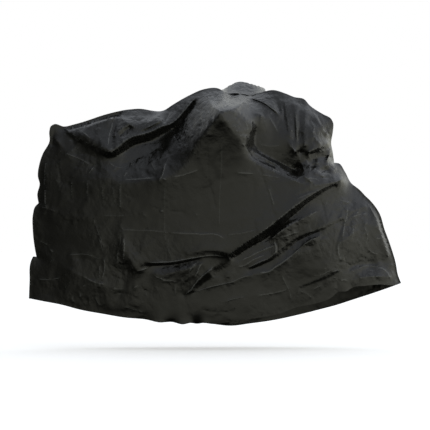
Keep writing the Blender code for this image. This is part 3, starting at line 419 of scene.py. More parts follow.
# The creases: a rise, how far it falls away on the left and on the right, and the line's (x, height).
NEAR_CREASES = creases(
    # the mid panel, in the grid that it was packed in
    (1, 0.4, 0.8, (-66.8, 79), (-66.7, 69.5)),
    (1, 0.4, 0.8, (-59.4, 80), (-59.3, 69)),
    (0.9, 0.4, 0.8, (-52.4, 77.5), (-52, 66)),
    (1, 0.4, 0.8, (-48, 77), (-46.2, 66)),
    (1.4, 0.4, 0.8, (-44.2, 77.4), (-44, 64)),
    (1.2, 0.5, 0.8, (-42.8, 73), (-40.2, 69.4)),
    (2.2, 0.6, 1.2, (-43.6, 78.4), (-34, 79), (-27, 79.6)),
    (2.4, 0.6, 1, (-42.8, 79.4), (-40.4, 82.6)),
    (2.2, 0.5, 0.9, (-39.8, 84.2), (-37.4, 88)),
    (-2, 0.7, 1, (-36.6, 84.2), (-33, 82.5), (-29, 80.5)),
    (3, 0.6, 1, (-26.6, 77.2), (-25, 79.5), (-24, 82.6), (-22.4, 88)),
    (2.4, 0.6, 0.8, (-25, 79.5), (-22, 78.2)),
    (2, 0.6, 1.4, (-20.8, 79.6), (-15, 80.7), (-11, 82), (-6.6, 83.5)),
    (-1.6, 0.6, 1.2, (-20, 85), (-17, 84.6), (-14, 85.6)),
    (2.4, 0.7, 1.4, (9.4, 81.9), (14, 81.6), (19.2, 81.2)),
    (1.2, 0.7, 1.6, (19.2, 81.2), (26, 80.2), (31, 79.4)),
    (-2, 0.6, 1.4, (-70.6, 59.4), (-65.4, 59.2)),
    (-1.8, 0.5, 1.2, (-66.4, 62.7), (-60.2, 62.4)),
    (1.4, 0.6, 1.6, (-56.8, 61.4), (-55, 56), (-52.6, 50), (-51, 45.4)),
    (1.4, 0.8, 1.2, (-54.8, 53), (-53, 48.6), (-52, 44)),
    (1.2, 0.6, 1.4, (-53, 61.8), (-44, 61.8), (-39, 62.4)),
    (1.4, 0.6, 1.4, (-44.4, 58), (-42.6, 55.2), (-36, 55), (-24, 54.2), (-20.6, 53.6)),
    (2, 0.6, 1.6, (-21.6, 53.8), (-15, 53.6), (-7, 53.2), (1.8, 52.6), (5, 50.4)),
    (1.2, 0.6, 1.6, (4, 52.8), (12, 53.6), (20.6, 55.6)),
    (1.2, 0.8, 1.2, (-21.4, 53), (-21.8, 46.4), (-19.6, 41.4)),
    (2.6, 0.6, 0.8, (-26, 63.9), (-23.4, 63.9)),
    (-1.4, 0.6, 1.2, (-22.8, 63.8), (-18, 63.6), (-12, 63)),
    (1.2, 0.6, 1, (-10, 63.4), (-7.2, 61.4)),
    (-1.4, 0.6, 1.2, (-29.8, 66.2), (-27, 65.1), (-24, 65)),
    (1.2, 0.8, 1, (-34.4, 63.4), (-31.2, 60.8)),
    (1, 0.8, 1.4, (-23.2, 77.6), (-23.6, 66), (-23.4, 55), (-22.6, 46)),
    (-1.6, 0.7, 1.8, (-3.4, 95), (-3.2, 84), (-2.4, 76), (-0.8, 70.6), (0.4, 64)),
    (1.2, 1.4, 2.2, (3.2, 96), (3, 84), (2.2, 70), (2, 56)),
    (-1.2, 0.8, 1.4, (-8.6, 93), (-7.6, 88.6)),
    (-2.2, 0.6, 1.6, (20.2, 85.4), (21.8, 81.4), (23.2, 77), (25.4, 70), (27, 63.6), (29.4, 60)),
    (1.6, 0.6, 1.4, (24.8, 76), (26.8, 69), (28, 65)),
    (-1.2, 0.5, 1, (26.6, 74), (30, 70.8)),
    (-2, 0.6, 1.2, (36.6, 70.6), (41, 72.4), (46, 74), (50.4, 75.6)),
    (1.6, 0.6, 1, (37.4, 69.2), (42, 71.2), (46, 73)),
    # the slope between the break and the low peak
    (2.2, 0.5, 0.9, (-59.6, 80.4), (-57.4, 83.4), (-55.4, 85.6)),
    (1.8, 0.6, 1.4, (-70.4, 91.2), (-62, 87.8), (-56.6, 84.8)),
    (-1.6, 0.6, 1.4, (-66, 93.4), (-60, 90.6), (-54, 88.8)),
    (-1.6, 0.6, 1.2, (-36, 93.6), (-36.2, 88.6), (-39, 84.6)),
    (1.6, 0.6, 1.2, (-50, 87), (-45.6, 84.4), (-40.6, 84.6)),
    (1.6, 0.6, 1.2, (-31, 92.6), (-29.4, 86), (-27, 81.4)),
    (-1.6, 0.6, 1, (-48, 82.6), (-44.8, 80.6)),
    (2.6, 0.4, 1.2, (-49.8, 92.8), (-49.4, 97.4), (-48.2, 102.6), (-46.9, 107)),
    (-2.8, 0.5, 0.7, (-48.4, 93.8), (-47.5, 98.2), (-46.4, 103), (-45.2, 107.4)),
    (4, 0.7, 1.6, (-3.2, 115.6), (0.6, 113.6), (2.6, 111)),
    (3.6, 1.4, 0.6, (4.2, 111.8), (6.4, 114.6), (7, 117.2)),
    (3.4, 0.6, 1.4, (9.6, 112.8), (12.4, 114.8), (15.2, 114.2)),
    (2.2, 0.5, 0.8, (-66, 103), (-63, 101.6), (-59.6, 99.2), (-57.4, 97.2)),
    (2, 0.5, 0.7, (-60.6, 104.9), (-54, 106.6), (-47, 108.4)),
    # the slope between the low peak's roll and the high peak
    (2.2, 0.5, 1, (-11, 106), (-8.4, 104.9), (-5.6, 104.9)),
    (1.8, 0.5, 0.9, (-14.2, 101.6), (-11.6, 99.4), (-10.6, 97)),
    (1.8, 0.5, 0.9, (-12.8, 97.4), (-10.2, 99.6), (-7.8, 98.4)),
    (1.6, 0.5, 0.9, (-16, 96.4), (-13.6, 94), (-13.2, 90.6)),
    (1.6, 0.6, 1, (-13.6, 104.4), (-9.2, 101.6), (-6.6, 101.8)),
    (-1.8, 0.5, 1, (-18, 99), (-15.6, 96.2), (-16.4, 91.6)),
    (2, 0.5, 1, (-6, 113), (-3.8, 111), (-2.2, 107.8)),
    (-1.8, 0.5, 1, (-8.6, 112), (-6.4, 108.6), (-6.2, 106.2)),
    (2.4, 0.6, 1, (-3.6, 119.4), (-3.2, 117), (-4.6, 114.4)),
    (-2.4, 0.5, 0.8, (-2.6, 119.6), (-2, 117.4), (-3, 115)),
    (2, 0.5, 0.8, (2.4, 111.6), (5.4, 113.2), (9, 113.4)),
    (-2, 0.5, 0.8, (6.8, 117), (9.4, 115.6), (12.4, 116.2)),
    # the pocket and the shelf
    (1.2, 0.8, 1.6, (24.6, 109), (27.6, 104), (30, 99.4)),
    (-1.2, 0.8, 1.4, (16, 112), (19.6, 112.8), (23.4, 111)),
    (1.2, 0.8, 1.4, (19, 95.6), (25, 94.2), (32, 94.6)),
    (-1.2, 0.8, 1.4, (22, 92.4), (28, 91.4), (34, 91)),
    (1.6, 0.6, 1, (12.8, 107.6), (15, 103.6), (15.2, 99.2)),
    (2.4, 0.4, 0.5, (26.6, 84.2), (28, 82.4)),
    (2.4, 0.4, 0.5, (27.8, 83.9), (29.2, 81.9)),
    (2.4, 0.4, 0.5, (29, 83.4), (30.2, 81.4)),
    (2, 0.6, 1, (40, 80.6), (43, 79.4), (47.6, 78.6), (49, 77.4)),
    (-2, 0.5, 0.8, (42, 78.2), (44, 77), (44.6, 76.4)),
    (-2, 0.5, 0.9, (47, 79.6), (52, 79.4), (55.4, 79.8)),
    (2.2, 0.5, 1, (46, 83.8), (50, 81.6), (54.4, 81.2)),
    # the loose front corner
    (1.8, 0.6, 1.2, (44.8, 106.6), (46.2, 102.6), (45.4, 98.6)),
    (-1.6, 0.6, 1.2, (50.2, 98.6), (48.8, 96.8), (46.6, 95.4)),
    (1.8, 0.5, 0.9, (51.8, 105.8), (52.8, 103), (52.6, 100.8)),
    (-1.8, 0.5, 0.9, (44.4, 109.8), (43.8, 106.2), (43.4, 103.6)),
    (1.8, 0.5, 0.9, (46.4, 91), (49.6, 91.8), (52, 93.4)),
    # below the swag
    (3, 0.5, 1, (12, 40.8), (18, 43.8), (24.8, 46.8), (29, 48.6)),
    (2, 0.6, 1.2, (-9.4, 26.2), (-4, 28), (4.6, 30.1), (8, 30.9), (12, 32.8), (17, 34.3)),
    (3.2, 0.6, 0.9, (20, 35.2), (25, 35.8), (28, 37.8), (30.8, 39.6), (35, 42.8), (39.5, 47)),
    (2.6, 0.6, 0.9, (39.5, 47), (43, 49.7), (48, 52.2)),
    (3, 0.6, 0.5, (-31, 39.9), (-20, 40.3), (-12, 41.7), (-6, 42.7), (0, 43.2), (4.6, 42.5)),
    (3, 0.6, 0.6, (-14.2, 24.9), (-11.4, 27), (-8.8, 30.4), (-6.3, 33.2), (-2.8, 36), (0.2, 38.5)),
    (2.6, 0.6, 0.6, (14.6, 37.1), (20, 39.8), (25, 42)),
    (-1.8, 0.6, 1, (8.4, 40.4), (14, 42.4), (20, 44.4), (26.4, 46.6)),
    (2, 0.5, 1, (9, 38), (13.4, 38.6), (18, 41.4), (24, 43.8)),
    (3, 0.5, 0.7, (26.9, 51), (28.4, 46.6), (27.6, 42.6)),
    (-2.6, 0.4, 0.6, (27.8, 50.6), (29.2, 46.8), (28.8, 43)),
    (-2.4, 0.5, 0.9, (26.6, 54.8), (28, 51.8), (29, 47.6)),
    (1.8, 0.5, 1, (29.6, 51), (35, 53.2), (40.4, 54.6)),
    (-1.6, 0.5, 0.9, (31, 52.8), (36, 55.2), (41.4, 56.4)),
    (1.6, 0.5, 0.9, (31.4, 56.4), (36.4, 58.6), (43, 60.8)),
    (-1.6, 0.6, 1, (34.8, 56.8), (40, 57.6), (46, 58.6)),
    (1.6, 0.5, 1, (42.6, 60), (45.6, 62.8), (48.8, 64.2)),
    (2, 0.5, 0.9, (-13, 33.6), (-11, 37.4), (-7.4, 41.2)),
    (-2, 0.5, 0.8, (-11.6, 33), (-9.4, 37.4), (-6.4, 41)),
    (2, 0.5, 0.8, (-9.8, 31.8), (-7.8, 36.6), (-5.2, 41)),
    (2.4, 0.5, 1, (-29.2, 34.7), (-26.4, 33), (-23.6, 31.8), (-20.2, 31.5), (-17, 30.6)),
    (1.6, 0.5, 0.9, (-21.2, 29.4), (-20.2, 31.2)),
    (1.4, 0.6, 1, (-18.2, 30.4), (-18.5, 23.6)),
    (1.2, 0.6, 1, (-15.2, 31), (-15, 27.6)),
    (-1.8, 0.6, 1, (-35, 28.6), (-32, 27), (-29.2, 25.9)),
    (1.6, 0.5, 0.8, (-39, 27.6), (-36.8, 28.8), (-34.6, 30)),
    (3, 0.5, 0.8, (-36.2, 35.8), (-33.4, 36.8), (-30.2, 38)),
    (2, 0.5, 0.8, (-42.4, 52.8), (-42.2, 46.8), (-42.8, 40.6)),
    (-2, 0.5, 0.7, (-43.5, 53.8), (-43.5, 46.4)),
    (1.6, 0.5, 1, (-44.6, 47.6), (-45.4, 41.4), (-44.4, 37.8)),
    (-1.8, 0.6, 1, (-39, 43), (-36.6, 40.4), (-34.2, 39.8)),
    (1.4, 0.6, 1.2, (30.6, 35.4), (33, 30), (34.8, 26.4), (35.6, 21.2)),
    (1.8, 0.5, 1.2, (18.8, 24.6), (26, 25.6), (34.8, 27.7)),
    (1.2, 0.6, 1.2, (3.6, 21.4), (9.6, 23.2), (14.6, 24)),
    (-1.2, 0.6, 1.2, (-8, 18.8), (0, 17), (9, 17.6)),
    (1.2, 0.6, 1.2, (37, 27.6), (42.6, 25.6), (46.6, 22.6)),
    # the rear flank and its foot
    (2, 0.5, 1, (-51.8, 43.2), (-51.3, 38), (-52.6, 31.2)),
    (1.6, 0.5, 0.9, (-53.4, 40.4), (-54, 31.2)),
    (1.4, 0.6, 1.2, (-69, 43.4), (-60, 43.8), (-52.8, 41.2)),
    (-1.4, 0.6, 1.2, (-66, 42), (-60, 41.8), (-55.6, 40.4)),
    (2, 0.5, 0.8, (-77.4, 46.5), (-74.8, 44.7)),
    (1.8, 0.5, 1, (-62.4, 34.4), (-56, 30.9), (-50, 29.6)),
    (-1.8, 0.5, 1, (-48.8, 34.6), (-45, 32.8), (-41.8, 31.2)),
    (1.8, 0.5, 0.9, (-48.8, 28), (-40.4, 27.6)),
    (-1.6, 0.5, 0.9, (-47, 26), (-41, 25.4), (-36.6, 24)),
    (1.8, 0.6, 1, (-66.6, 25.4), (-66.2, 22.8), (-64.4, 20.6)),
    (1.6, 0.5, 0.9, (-63, 27), (-62.2, 22.4)),
    (1.4, 0.5, 1, (-56, 25), (-54.4, 21.4), (-51.6, 19.2)),
    (-1.4, 0.5, 1, (-60, 23.8), (-58.4, 20.6)),
    (1.4, 0.5, 1, (-44, 20), (-37, 18), (-31, 16.4)),
    (1.4, 0.6, 1.2, (-84, 32.6), (-77, 32), (-70.6, 33.4)),
    (-1.6, 0.6, 1.4, (-80, 29.6), (-74, 28.4), (-69.4, 27)),
    (1.6, 0.6, 1.2, (-79.2, 73.6), (-79, 68), (-78, 63.4)),
    (1.6, 0.6, 1.2, (-78.4, 88.6), (-79.2, 82), (-79.4, 76.4)),
    (-1.6, 0.6, 1.2, (-73, 87), (-72, 80), (-71.4, 73)),
    (1.4, 0.6, 1.4, (-82, 66), (-76.6, 64.8), (-72.6, 63)),
    (1.4, 0.6, 1.4, (-82.6, 51), (-79, 48.8), (-76, 47.2)),
    # the front flank and the toe
    (-2.4, 0.5, 0.9, (35.4, 50), (40, 52), (46, 54.4)),
    (-2.6, 0.4, 0.9, (50.6, 55.2), (52.4, 56.6), (56, 58.2), (61, 60.2)),
    (-1.8, 0.5, 1, (48.4, 71.4), (50.4, 65), (52.3, 57.2)),
    (2, 0.5, 1, (61.7, 66.6), (61.4, 62), (60.2, 57), (59.5, 50.6)),
    (-2.2, 0.4, 0.9, (61.6, 61.9), (66, 64.2), (70.4, 65.8)),
    (1.8, 0.5, 0.9, (62.2, 60.6), (67, 62.2), (72.2, 63.2)),
    (1.4, 0.5, 1, (52.6, 68.6), (58, 69), (64, 67.4)),
    (-1.4, 0.5, 1, (54, 63.6), (58.6, 64.8), (61, 66.2)),
    (1.6, 0.5, 1, (63.6, 59.2), (64.4, 54), (63.4, 49.6)),
    (-1.6, 0.5, 1, (66.6, 58.6), (67.6, 53), (66.4, 48.4)),
    (1.4, 0.5, 1, (69, 57.8), (71, 52.8), (70, 47.4)),
    (2.2, 0.5, 0.8, (57.6, 50.4), (57.5, 45), (58.8, 40.6)),
    (-1.8, 0.5, 0.8, (56.2, 50), (56, 45), (57, 41.2)),
    (-2, 0.5, 1, (62.2, 45.2), (60.8, 42), (60.4, 38.6)),
    (1.8, 0.5, 0.9, (63.8, 42), (64.8, 39.6), (66.8, 36.4)),
    (-1.4, 0.5, 0.9, (66, 45), (68.4, 42.4), (72, 41.4)),
    (1.6, 0.5, 0.9, (70.4, 47), (74, 44.4), (77.6, 43.6)),
    (2.6, 0.5, 0.9, (67.2, 38.1), (71, 38.5), (75.4, 38.3)),
    (1.8, 0.5, 0.8, (73, 51.8), (76, 51.2), (79, 51.9)),
    (3.3, 0.6, 1.4, (74.8, 37), (77, 37.6), (79.4, 36.2), (81.2, 33.8), (81.6, 31.4)),
    (-2.6, 0.5, 0.8, (74.6, 36.4), (74.4, 33.8), (75.8, 31.6), (78.4, 30.8)),
    (1.6, 0.5, 0.9, (69.6, 35.8), (72.2, 36.4), (74.6, 35.8)),
    (2.4, 0.5, 0.9, (57.2, 31.7), (60, 31.8), (62.8, 31.7)),
    (-2.2, 0.5, 0.9, (63.1, 31.6), (63.2, 27.8)),
    (-2.4, 0.5, 0.9, (56.8, 32.4), (56.8, 29), (56.9, 26.6)),
    (1.8, 0.5, 0.9, (53, 35.2), (56.6, 36), (60.2, 35.6)),
    (-1.6, 0.5, 0.9, (52.6, 38), (55.6, 37.6), (58.4, 36.2)),
    (1.6, 0.5, 1, (44, 33.6), (49.6, 34.4), (55.4, 37.4)),
    (-1.4, 0.5, 1, (48.6, 27.4), (52.6, 28.8), (55.4, 31.6)),
    (1.6, 0.6, 1, (44.6, 26.8), (48.6, 29), (51.4, 29.4)),
)
FAR_CREASES = creases(
    # the high crown, which shows over the near panel
    (-3.7, 0.9, 0.9, (5.8, 121), (8.8, 122.2), (11.4, 123)),
    (3, 0.7, 0.9, (12.4, 122), (12.4, 124)),
    (2.4, 0.7, 0.9, (14.2, 123), (16.6, 121.6), (18, 119.6)),
    # the same packing grid, and creases in the folds that it hangs in
    (1.8, 0.5, 1.6, (-62, 80), (-62.4, 70), (-61.8, 58)),
    (1.8, 0.5, 1.6, (-38, 77.4), (-38.6, 66), (-37.6, 54.6)),
    (1.6, 0.5, 1.6, (-14, 86), (-13.4, 74), (-14.2, 60), (-13.6, 52.4)),
    (1.6, 0.5, 1.6, (11, 92), (10.4, 78), (10.8, 66), (9.8, 55)),
    (-1.8, 0.5, 1.6, (33.6, 86), (33, 76), (34, 66)),
    (1.6, 0.5, 1.4, (57, 70), (56.4, 60), (57, 50), (56, 41)),
    (2, 0.6, 1.4, (-64, 62.6), (-52, 61.6), (-39, 62.4)),
    (1.6, 0.6, 1.4, (-36, 62.6), (-24, 62), (-12, 62.8)),
    (1.4, 0.6, 1.4, (-8, 62.6), (4, 62), (14, 63)),
    (1.8, 0.6, 1.4, (-26, 84.8), (-17, 86), (-8, 87.4)),
    (1.8, 0.6, 1.4, (2, 87.8), (12, 87.2), (22, 87.6)),
    (-1.6, 0.6, 1.4, (44, 73), (50, 66), (52.4, 58.4)),
    (2, 0.5, 1, (-58, 81.6), (-54, 86), (-50.6, 88.4)),
    (-1.8, 0.5, 1, (-44, 80.6), (-41, 85.4), (-36.6, 88.6)),
    (2, 0.5, 1, (-28, 80.8), (-24.6, 85), (-23.6, 91)),
    (1.8, 0.5, 1, (-18, 92), (-14, 96.4), (-10.8, 98)),
    (-1.8, 0.5, 1, (-12, 103), (-7.4, 104.4), (-3, 108)),
    (2, 0.5, 1, (-2, 112), (2.4, 113.6), (5.8, 116.6)),
    (2, 0.5, 1, (12, 116), (13.6, 110), (12.8, 103)),
    (-1.8, 0.5, 1, (6, 107), (5.4, 100), (6.8, 94.6)),
    (1.8, 0.5, 1, (18, 108), (20, 102.6), (19.4, 97)),
    (2, 0.5, 1, (24, 92.6), (30, 84), (36.4, 79)),
    (-2, 0.5, 1, (28.6, 81), (36, 75.4), (44, 74.6)),
    (1.8, 0.5, 1, (38.6, 85.4), (44, 82.4), (49.6, 81)),
    (-2, 0.5, 0.9, (42, 88), (46, 85), (52, 84.4)),
    (1.8, 0.5, 1, (44.6, 104), (45.6, 98), (44.8, 92.6)),
    (2, 0.5, 1, (-36, 44), (-24, 42), (-10, 43.6), (4, 45)),
    (-2, 0.5, 1, (-28, 40), (-14, 38.6), (0, 40), (10, 44)),
    (2, 0.5, 1, (12, 46), (24, 50), (36, 57.4)),
    (2, 0.5, 1, (20, 40.6), (30, 46), (40, 52.4), (48, 55)),
    (-1.8, 0.5, 1, (28, 38), (38, 43.6), (46, 46.4)),
    (1.8, 0.5, 1, (50, 47), (54, 42.6), (60, 40)),
    (-1.8, 0.5, 1, (58.6, 57.6), (62, 54.4), (64.6, 48)),
    (1.8, 0.5, 1, (66, 60), (68.6, 55), (68, 49)),
    (2, 0.5, 0.9, (66, 43), (72, 44.6), (79, 44)),
    (2.2, 0.5, 1, (66, 30.6), (72, 31.6), (78, 31)),
    (-1.6, 0.5, 1, (-56, 52), (-54, 44.6), (-56, 37)),
    (1.8, 0.5, 1, (-47, 49), (-45.6, 42), (-47.4, 35.6)),
    (1.6, 0.5, 1, (-40, 40.6), (-30, 37.4), (-20, 36.8)),
    (-1.6, 0.5, 1, (-60, 29.6), (-50, 28.4), (-42, 29)),
    (1.8, 0.5, 1, (-72, 30), (-64, 25), (-58, 21.4)),
    (1.6, 0.5, 1, (-34, 26.6), (-24, 22.8), (-16, 17.6)),
    (-1.6, 0.5, 1, (-6, 24), (2, 19.4), (8, 14.6)),
    (1.6, 0.5, 1, (20, 21.6), (30, 22.6), (40, 21.4)),
    (1.8, 0.5, 1, (-78.4, 87), (-79, 79), (-78.6, 71)),
    (-1.6, 0.5, 1.2, (-73, 84), (-72, 76), (-72.6, 68)),
    (1.6, 0.5, 1.2, (-80, 58), (-74, 55.6), (-68, 56.4)),
)

# Where the film is more crumpled than elsewhere.
NEAR_ZONES: tuple[Zone, ...] = (
    Zone(-58, 100, 14, 8, 0.9), Zone(-38, 105, 12, 6, 0.9), Zone(-12, 101, 11, 14, 0.6),
    Zone(2, 116, 12, 5, 1), Zone(-44, 84, 18, 6, 0.5), Zone(24, 115, 8, 5, 0.9), Zone(47, 103, 8, 9, 0.8),
    Zone(46, 83, 11, 6, 1.3), Zone(-4, 35, 18, 7, 0.9), Zone(-39, 44, 8, 10, 0.6), Zone(34, 52, 16, 8, 0.9),
    Zone(60, 58, 14, 14, 0.7), Zone(68, 38, 14, 8, 0.5), Zone(-70, 30, 16, 12, 0.3),
    Zone(-45, 26, 14, 9, 0.3),
)
FAR_ZONES: tuple[Zone, ...] = (
    Zone(-50, 102, 20, 8, 0.9), Zone(-10, 104, 16, 12, 0.8), Zone(14, 119, 14, 6, 1.2),
    Zone(40, 100, 12, 14, 0.9), Zone(46, 82, 12, 7, 1.4), Zone(0, 42, 24, 8, 0.7),
    Zone(44, 50, 20, 12, 0.8), Zone(68, 40, 14, 12, 0.9), Zone(-60, 34, 20, 14, 0.7),
)
# Where the folds are rounded off.
NEAR_SOFT: tuple[Zone, ...] = (
    Zone(3, 78, 9, 17, 1), Zone(-16, 86, 11, 9, 0.6), Zone(-62, 84, 9, 7, 0.9), Zone(-62, 60, 18, 24, 0.3),
)
FAR_SOFT: tuple[Zone, ...] = (Zone(10, 80, 10, 20, 1), Zone(-20, 84, 14, 10, 0.6))
# Where the film stands further out than its folds say.
NEAR_FULL: tuple[Zone, ...] = (Zone(58, 42, 14, 22, 0.25), Zone(-4, 12, 36, 15, 0.22))
FAR_FULL: tuple[Zone, ...] = (Zone(-4, 12, 36, 15, 0.15),)


class Side(Enum):
    """Which way a panel faces from the seam's plane."""

    NEAR = -1
    FAR = 1


def curve(line: Line, step: float) -> Array:
    """A curve through a line's points, with its sharp corners kept.

    Args:
        line: the points, each with two or three columns.
        step: about how far apart the curve's points are.

    Returns:
        The curve's points, one in each row.
    """
    points = np.array(line, float)
    spans = np.diff(points, axis=0)
    lengths = np.linalg.norm(spans[:, :2], axis=1)[:, None]
    slopes = spans / lengths
    smooth = (slopes[:-1] * lengths[1:] + slopes[1:] * lengths[:-1]) / (lengths[1:] + lengths[:-1])
    units = slopes[:, :2] / np.linalg.norm(slopes[:, :2], axis=1)[:, None]
    sharp = (units[:-1] * units[1:]).sum(1) < math.cos(math.radians(SHARP_TURN))
    starts, ends = slopes.copy(), slopes.copy()
    starts[1:] = np.where(sharp[:, None], slopes[1:], smooth)
    ends[:-1] = np.where(sharp[:, None], slopes[:-1], smooth)
    out = [points[:1]]
    for k, length in enumerate(lengths[:, 0]):
        count = max(1, round(length / step))
        t = (np.arange(1, count + 1) / count)[:, None]
        stay = 2 * t**3 - 3 * t**2 + 1
        out.append(
            stay * points[k] + (1 - stay) * points[k + 1]
            + (t**3 - 2 * t**2 + t) * length * starts[k] + (t**3 - t**2) * length * ends[k]
        )
    return np.vstack(out)


def inside(border: Array, points: Array) -> Array:
    """Which points lie inside the closed border, by crossing count."""
    x, y = points.T
    odd = np.zeros(len(points), bool)
    for (x0, y0), (x1, y1) in zip(border, np.roll(border, -1, axis=0)):
        crosses = (y0 > y) != (y1 > y)
        at = x0 + (y - y0) * (x1 - x0) / (y1 - y0 or 1.0)
        odd ^= crosses & (x < at)
    return odd


def nearest(points: Array, to: Array) -> Array:
    """How far each point lies from the nearest of the others."""
    tree = KDTree(len(to))
    for k, place in enumerate(to):
        tree.insert((*place, 0.0), k)
    tree.balance()
    return np.array([tree.find((*place, 0.0))[2] for place in points])


def ease(value: Array) -> Array:
    """Zero below 0 and one above 1, with a smooth step between."""
    t = np.clip(value, 0.0, 1.0)
    return t * t * (3 - 2 * t)


def weigh(zones: Sequence[Zone], places: Array) -> Array:
    """The sum of what the zones give each (x, height) place."""
    total = np.zeros(len(places))
    for zone in zones:
        off = (places - (zone.x, zone.height)) / (zone.reach_x, zone.reach_height)
        total += zone.gain * np.exp(-(off**2).sum(1))
    return total


@dataclass
class Net:
    """Points of a sheet, as (x, height, depth), with the triangles between them."""

    points: Array
    faces: list[list[int]]
    border: Array  # which points lie on the sheet's edge
    edges: Array = field(init=False)
    degree: Array = field(init=False)  # how many edges meet at each point
    wear_and_highlight: Array = field(init=False)  # how pale the creases paint each point, as wear and as a painted highlight

    def __post_init__(self) -> None:
        """Works out the edges and how many meet at each point."""
        faces = np.array(self.faces)
        pairs = np.sort(np.vstack([faces[:, [0, 1]], faces[:, [1, 2]], faces[:, [2, 0]]]), axis=1)
        self.edges = np.unique(pairs, axis=0)
        self.degree = np.bincount(self.edges.ravel(), minlength=len(self.points))
        self.wear_and_highlight = np.zeros(len(self.points))

    def gather(self, values: Array) -> Array:
        """The sum of each point's neighbours."""
        a, b = self.edges.T
        count = len(self.points)
        return np.bincount(a, values[b], count) + np.bincount(b, values[a], count)

    def stretch(self, fixed: Array, rounds: int = 400, close: float = 1e-4) -> None:
        """Sets every free depth to the mean of its neighbours', as in a stretched film.

        Args:
            fixed: which depths stay.
            rounds: the most steps that the solver takes.
            close: the mean error in centimetres at which it stops.
        """
        depth = np.where(fixed, self.points[:, 2], self.points[fixed, 2].mean())
        left = np.where(fixed, 0.0, self.gather(depth) - self.degree * depth)
        ready = left / self.degree
        step, worth = ready.copy(), float(left @ ready)
        for _ in range(rounds):
            pull = np.where(fixed, 0.0, self.degree * step - self.gather(step))
            size = worth / float(step @ pull)
            depth += size * step
            left -= size * pull
            ready = left / self.degree
            before, worth = worth, float(left @ ready)
            if math.sqrt(worth / len(depth)) < close:
                break
            step = ready + worth / before * step
        self.points[:, 2] = depth

    def soften(self, values: Array, rounds: int, share: Array | float = 0.5) -> Array:
        """Moves values towards the mean of their neighbours'.

        Args:
            values: one for each point. Those on the border stay.
            rounds: how many times each moves.
            share: how much of the way it goes each time.

        Returns:
            The moved values.
        """
        share = np.where(self.border, 0.0, share)
        for _ in range(rounds):
            values = values + share * (self.gather(values) / self.degree - values)
        return values

    def normals(self) -> Array:
        """Each point's direction out of the sheet, towards a growing depth."""
        corners = np.array(self.faces).T
        a, b, c = (self.points[corner] for corner in corners)
        cross = np.cross(b - a, c - a)
        out = np.zeros_like(self.points)
        for corner in corners:
            for axis in range(3):
                out[:, axis] += np.bincount(corner, cross[:, axis], len(out))
        out *= np.sign(out[:, 2:3].sum())
        return out / np.linalg.norm(out, axis=1)[:, None]

    def bend(self) -> Array:
        """How sharply the sheet bends at each point, out of it where positive, and none where it is steep."""
        mean = np.stack([self.gather(self.points[:, k]) / self.degree for k in range(3)], 1)
        normals = self.normals()
        return ((self.points - mean) * normals).sum(1) * ease((normals[:, 2] - STEEP) / STEEP_FADE)


@dataclass(frozen=True)
class Crumple:
    """The flat facets, with sharp ridges and valleys between them, that a crumpled film is left with."""

    cell: float  # size of a facet, centimetres
    rise: float  # how far its corners stand out or in, millimetres
    seed: int
    stretch: float = 1.0  # how many times longer the facets are than wide
    turn: float = 0.0  # and which way they run, degrees up from level
    focus: float = 1.0  # how much they keep to the crumpled places
    waves: tuple[float, ...] = (2.7, 1.3)  # how quickly their rows waver
    sway: float = 0.32  # how far, in facets
    drift: float = 0.2  # and how far slantwise
    slant: float = 0.8  # how quickly slantwise, next to the waves
    repeat: int = 64  # how many facets until the corners repeat

    def heights(self, places: Array) -> Array:
        """The film's height over its mean at each (x, height) place, in centimetres."""
        rng = np.random.default_rng(self.seed)
        angle = math.radians(self.turn)
        along = places @ (math.cos(angle), math.sin(angle)) / self.stretch
        across = places @ (-math.sin(angle), math.cos(angle))
        u, v = along / self.cell, across / self.cell
        for wave in self.waves:
            a, b, c, d = rng.uniform(0.0, 2 * math.pi, 4)
            u, v = (
                u + self.sway * np.sin(v * wave + a) + self.drift * np.sin((u + v) * wave * self.slant + b),
                v + self.sway * np.sin(u * wave + c) + self.drift * np.sin((u - v) * wave * self.slant + d),
            )
        skew = (u + v) * (math.sqrt(3.0) - 1.0) / 2.0  # turns the grid's squares into pairs of triangles
        u, v = u + skew, v + skew
        i, j = np.floor(u).astype(int), np.floor(v).astype(int)
        p, q = u - i, v - j
        corners = rng.uniform(-1.0, 1.0, (self.repeat, self.repeat))
        i0, j0, i1, j1 = (n % self.repeat for n in (i, j, i + 1, j + 1))
        beside = np.where(p > q, corners[i1, j0], corners[i0, j1])
        high, low = np.maximum(p, q), np.minimum(p, q)
        mix = (1.0 - high) * corners[i0, j0] + (high - low) * beside + low * corners[i1, j1]
        return self.rise * MM * mix


CRUMPLES = (
    Crumple(9.0, 6.2, 3, 1.4, 38.0), Crumple(4.6, 3.0, 5, 1.5, 70.0, 1.2), Crumple(2.2, 1.2, 8, focus=1.6),
)


def feed(tree: bpy.types.NodeTree, node: bpy.types.Node, inputs: dict[int | str, object]) -> None:
    """Links or sets a node's inputs.

    Args:
        tree: the tree that the node is in.
        node: the node.
        inputs: for each input, another node's output or a plain value.
    """
    for name, value in inputs.items():
        if isinstance(value, bpy.types.NodeSocket):
            tree.links.new(value, node.inputs[name])
        else:
            node.inputs[name].default_value = value


def add_node(
    tree: bpy.types.NodeTree, kind: str, inputs: dict[int | str, object] | None = None, **settings: object,
) -> bpy.types.Node:
    """Adds a node.

    Args:
        tree: the tree that it goes in.
        kind: its type, without the words that every shader node's starts with.
        inputs: for each input, another node's output or a plain value.
        settings: the node's own settings.

    Returns:
        The new node.
    """
    node = tree.nodes.new("ShaderNode" + kind)
    for name, value in settings.items():
        setattr(node, name, value)
    feed(tree, node, inputs or {})
    return node


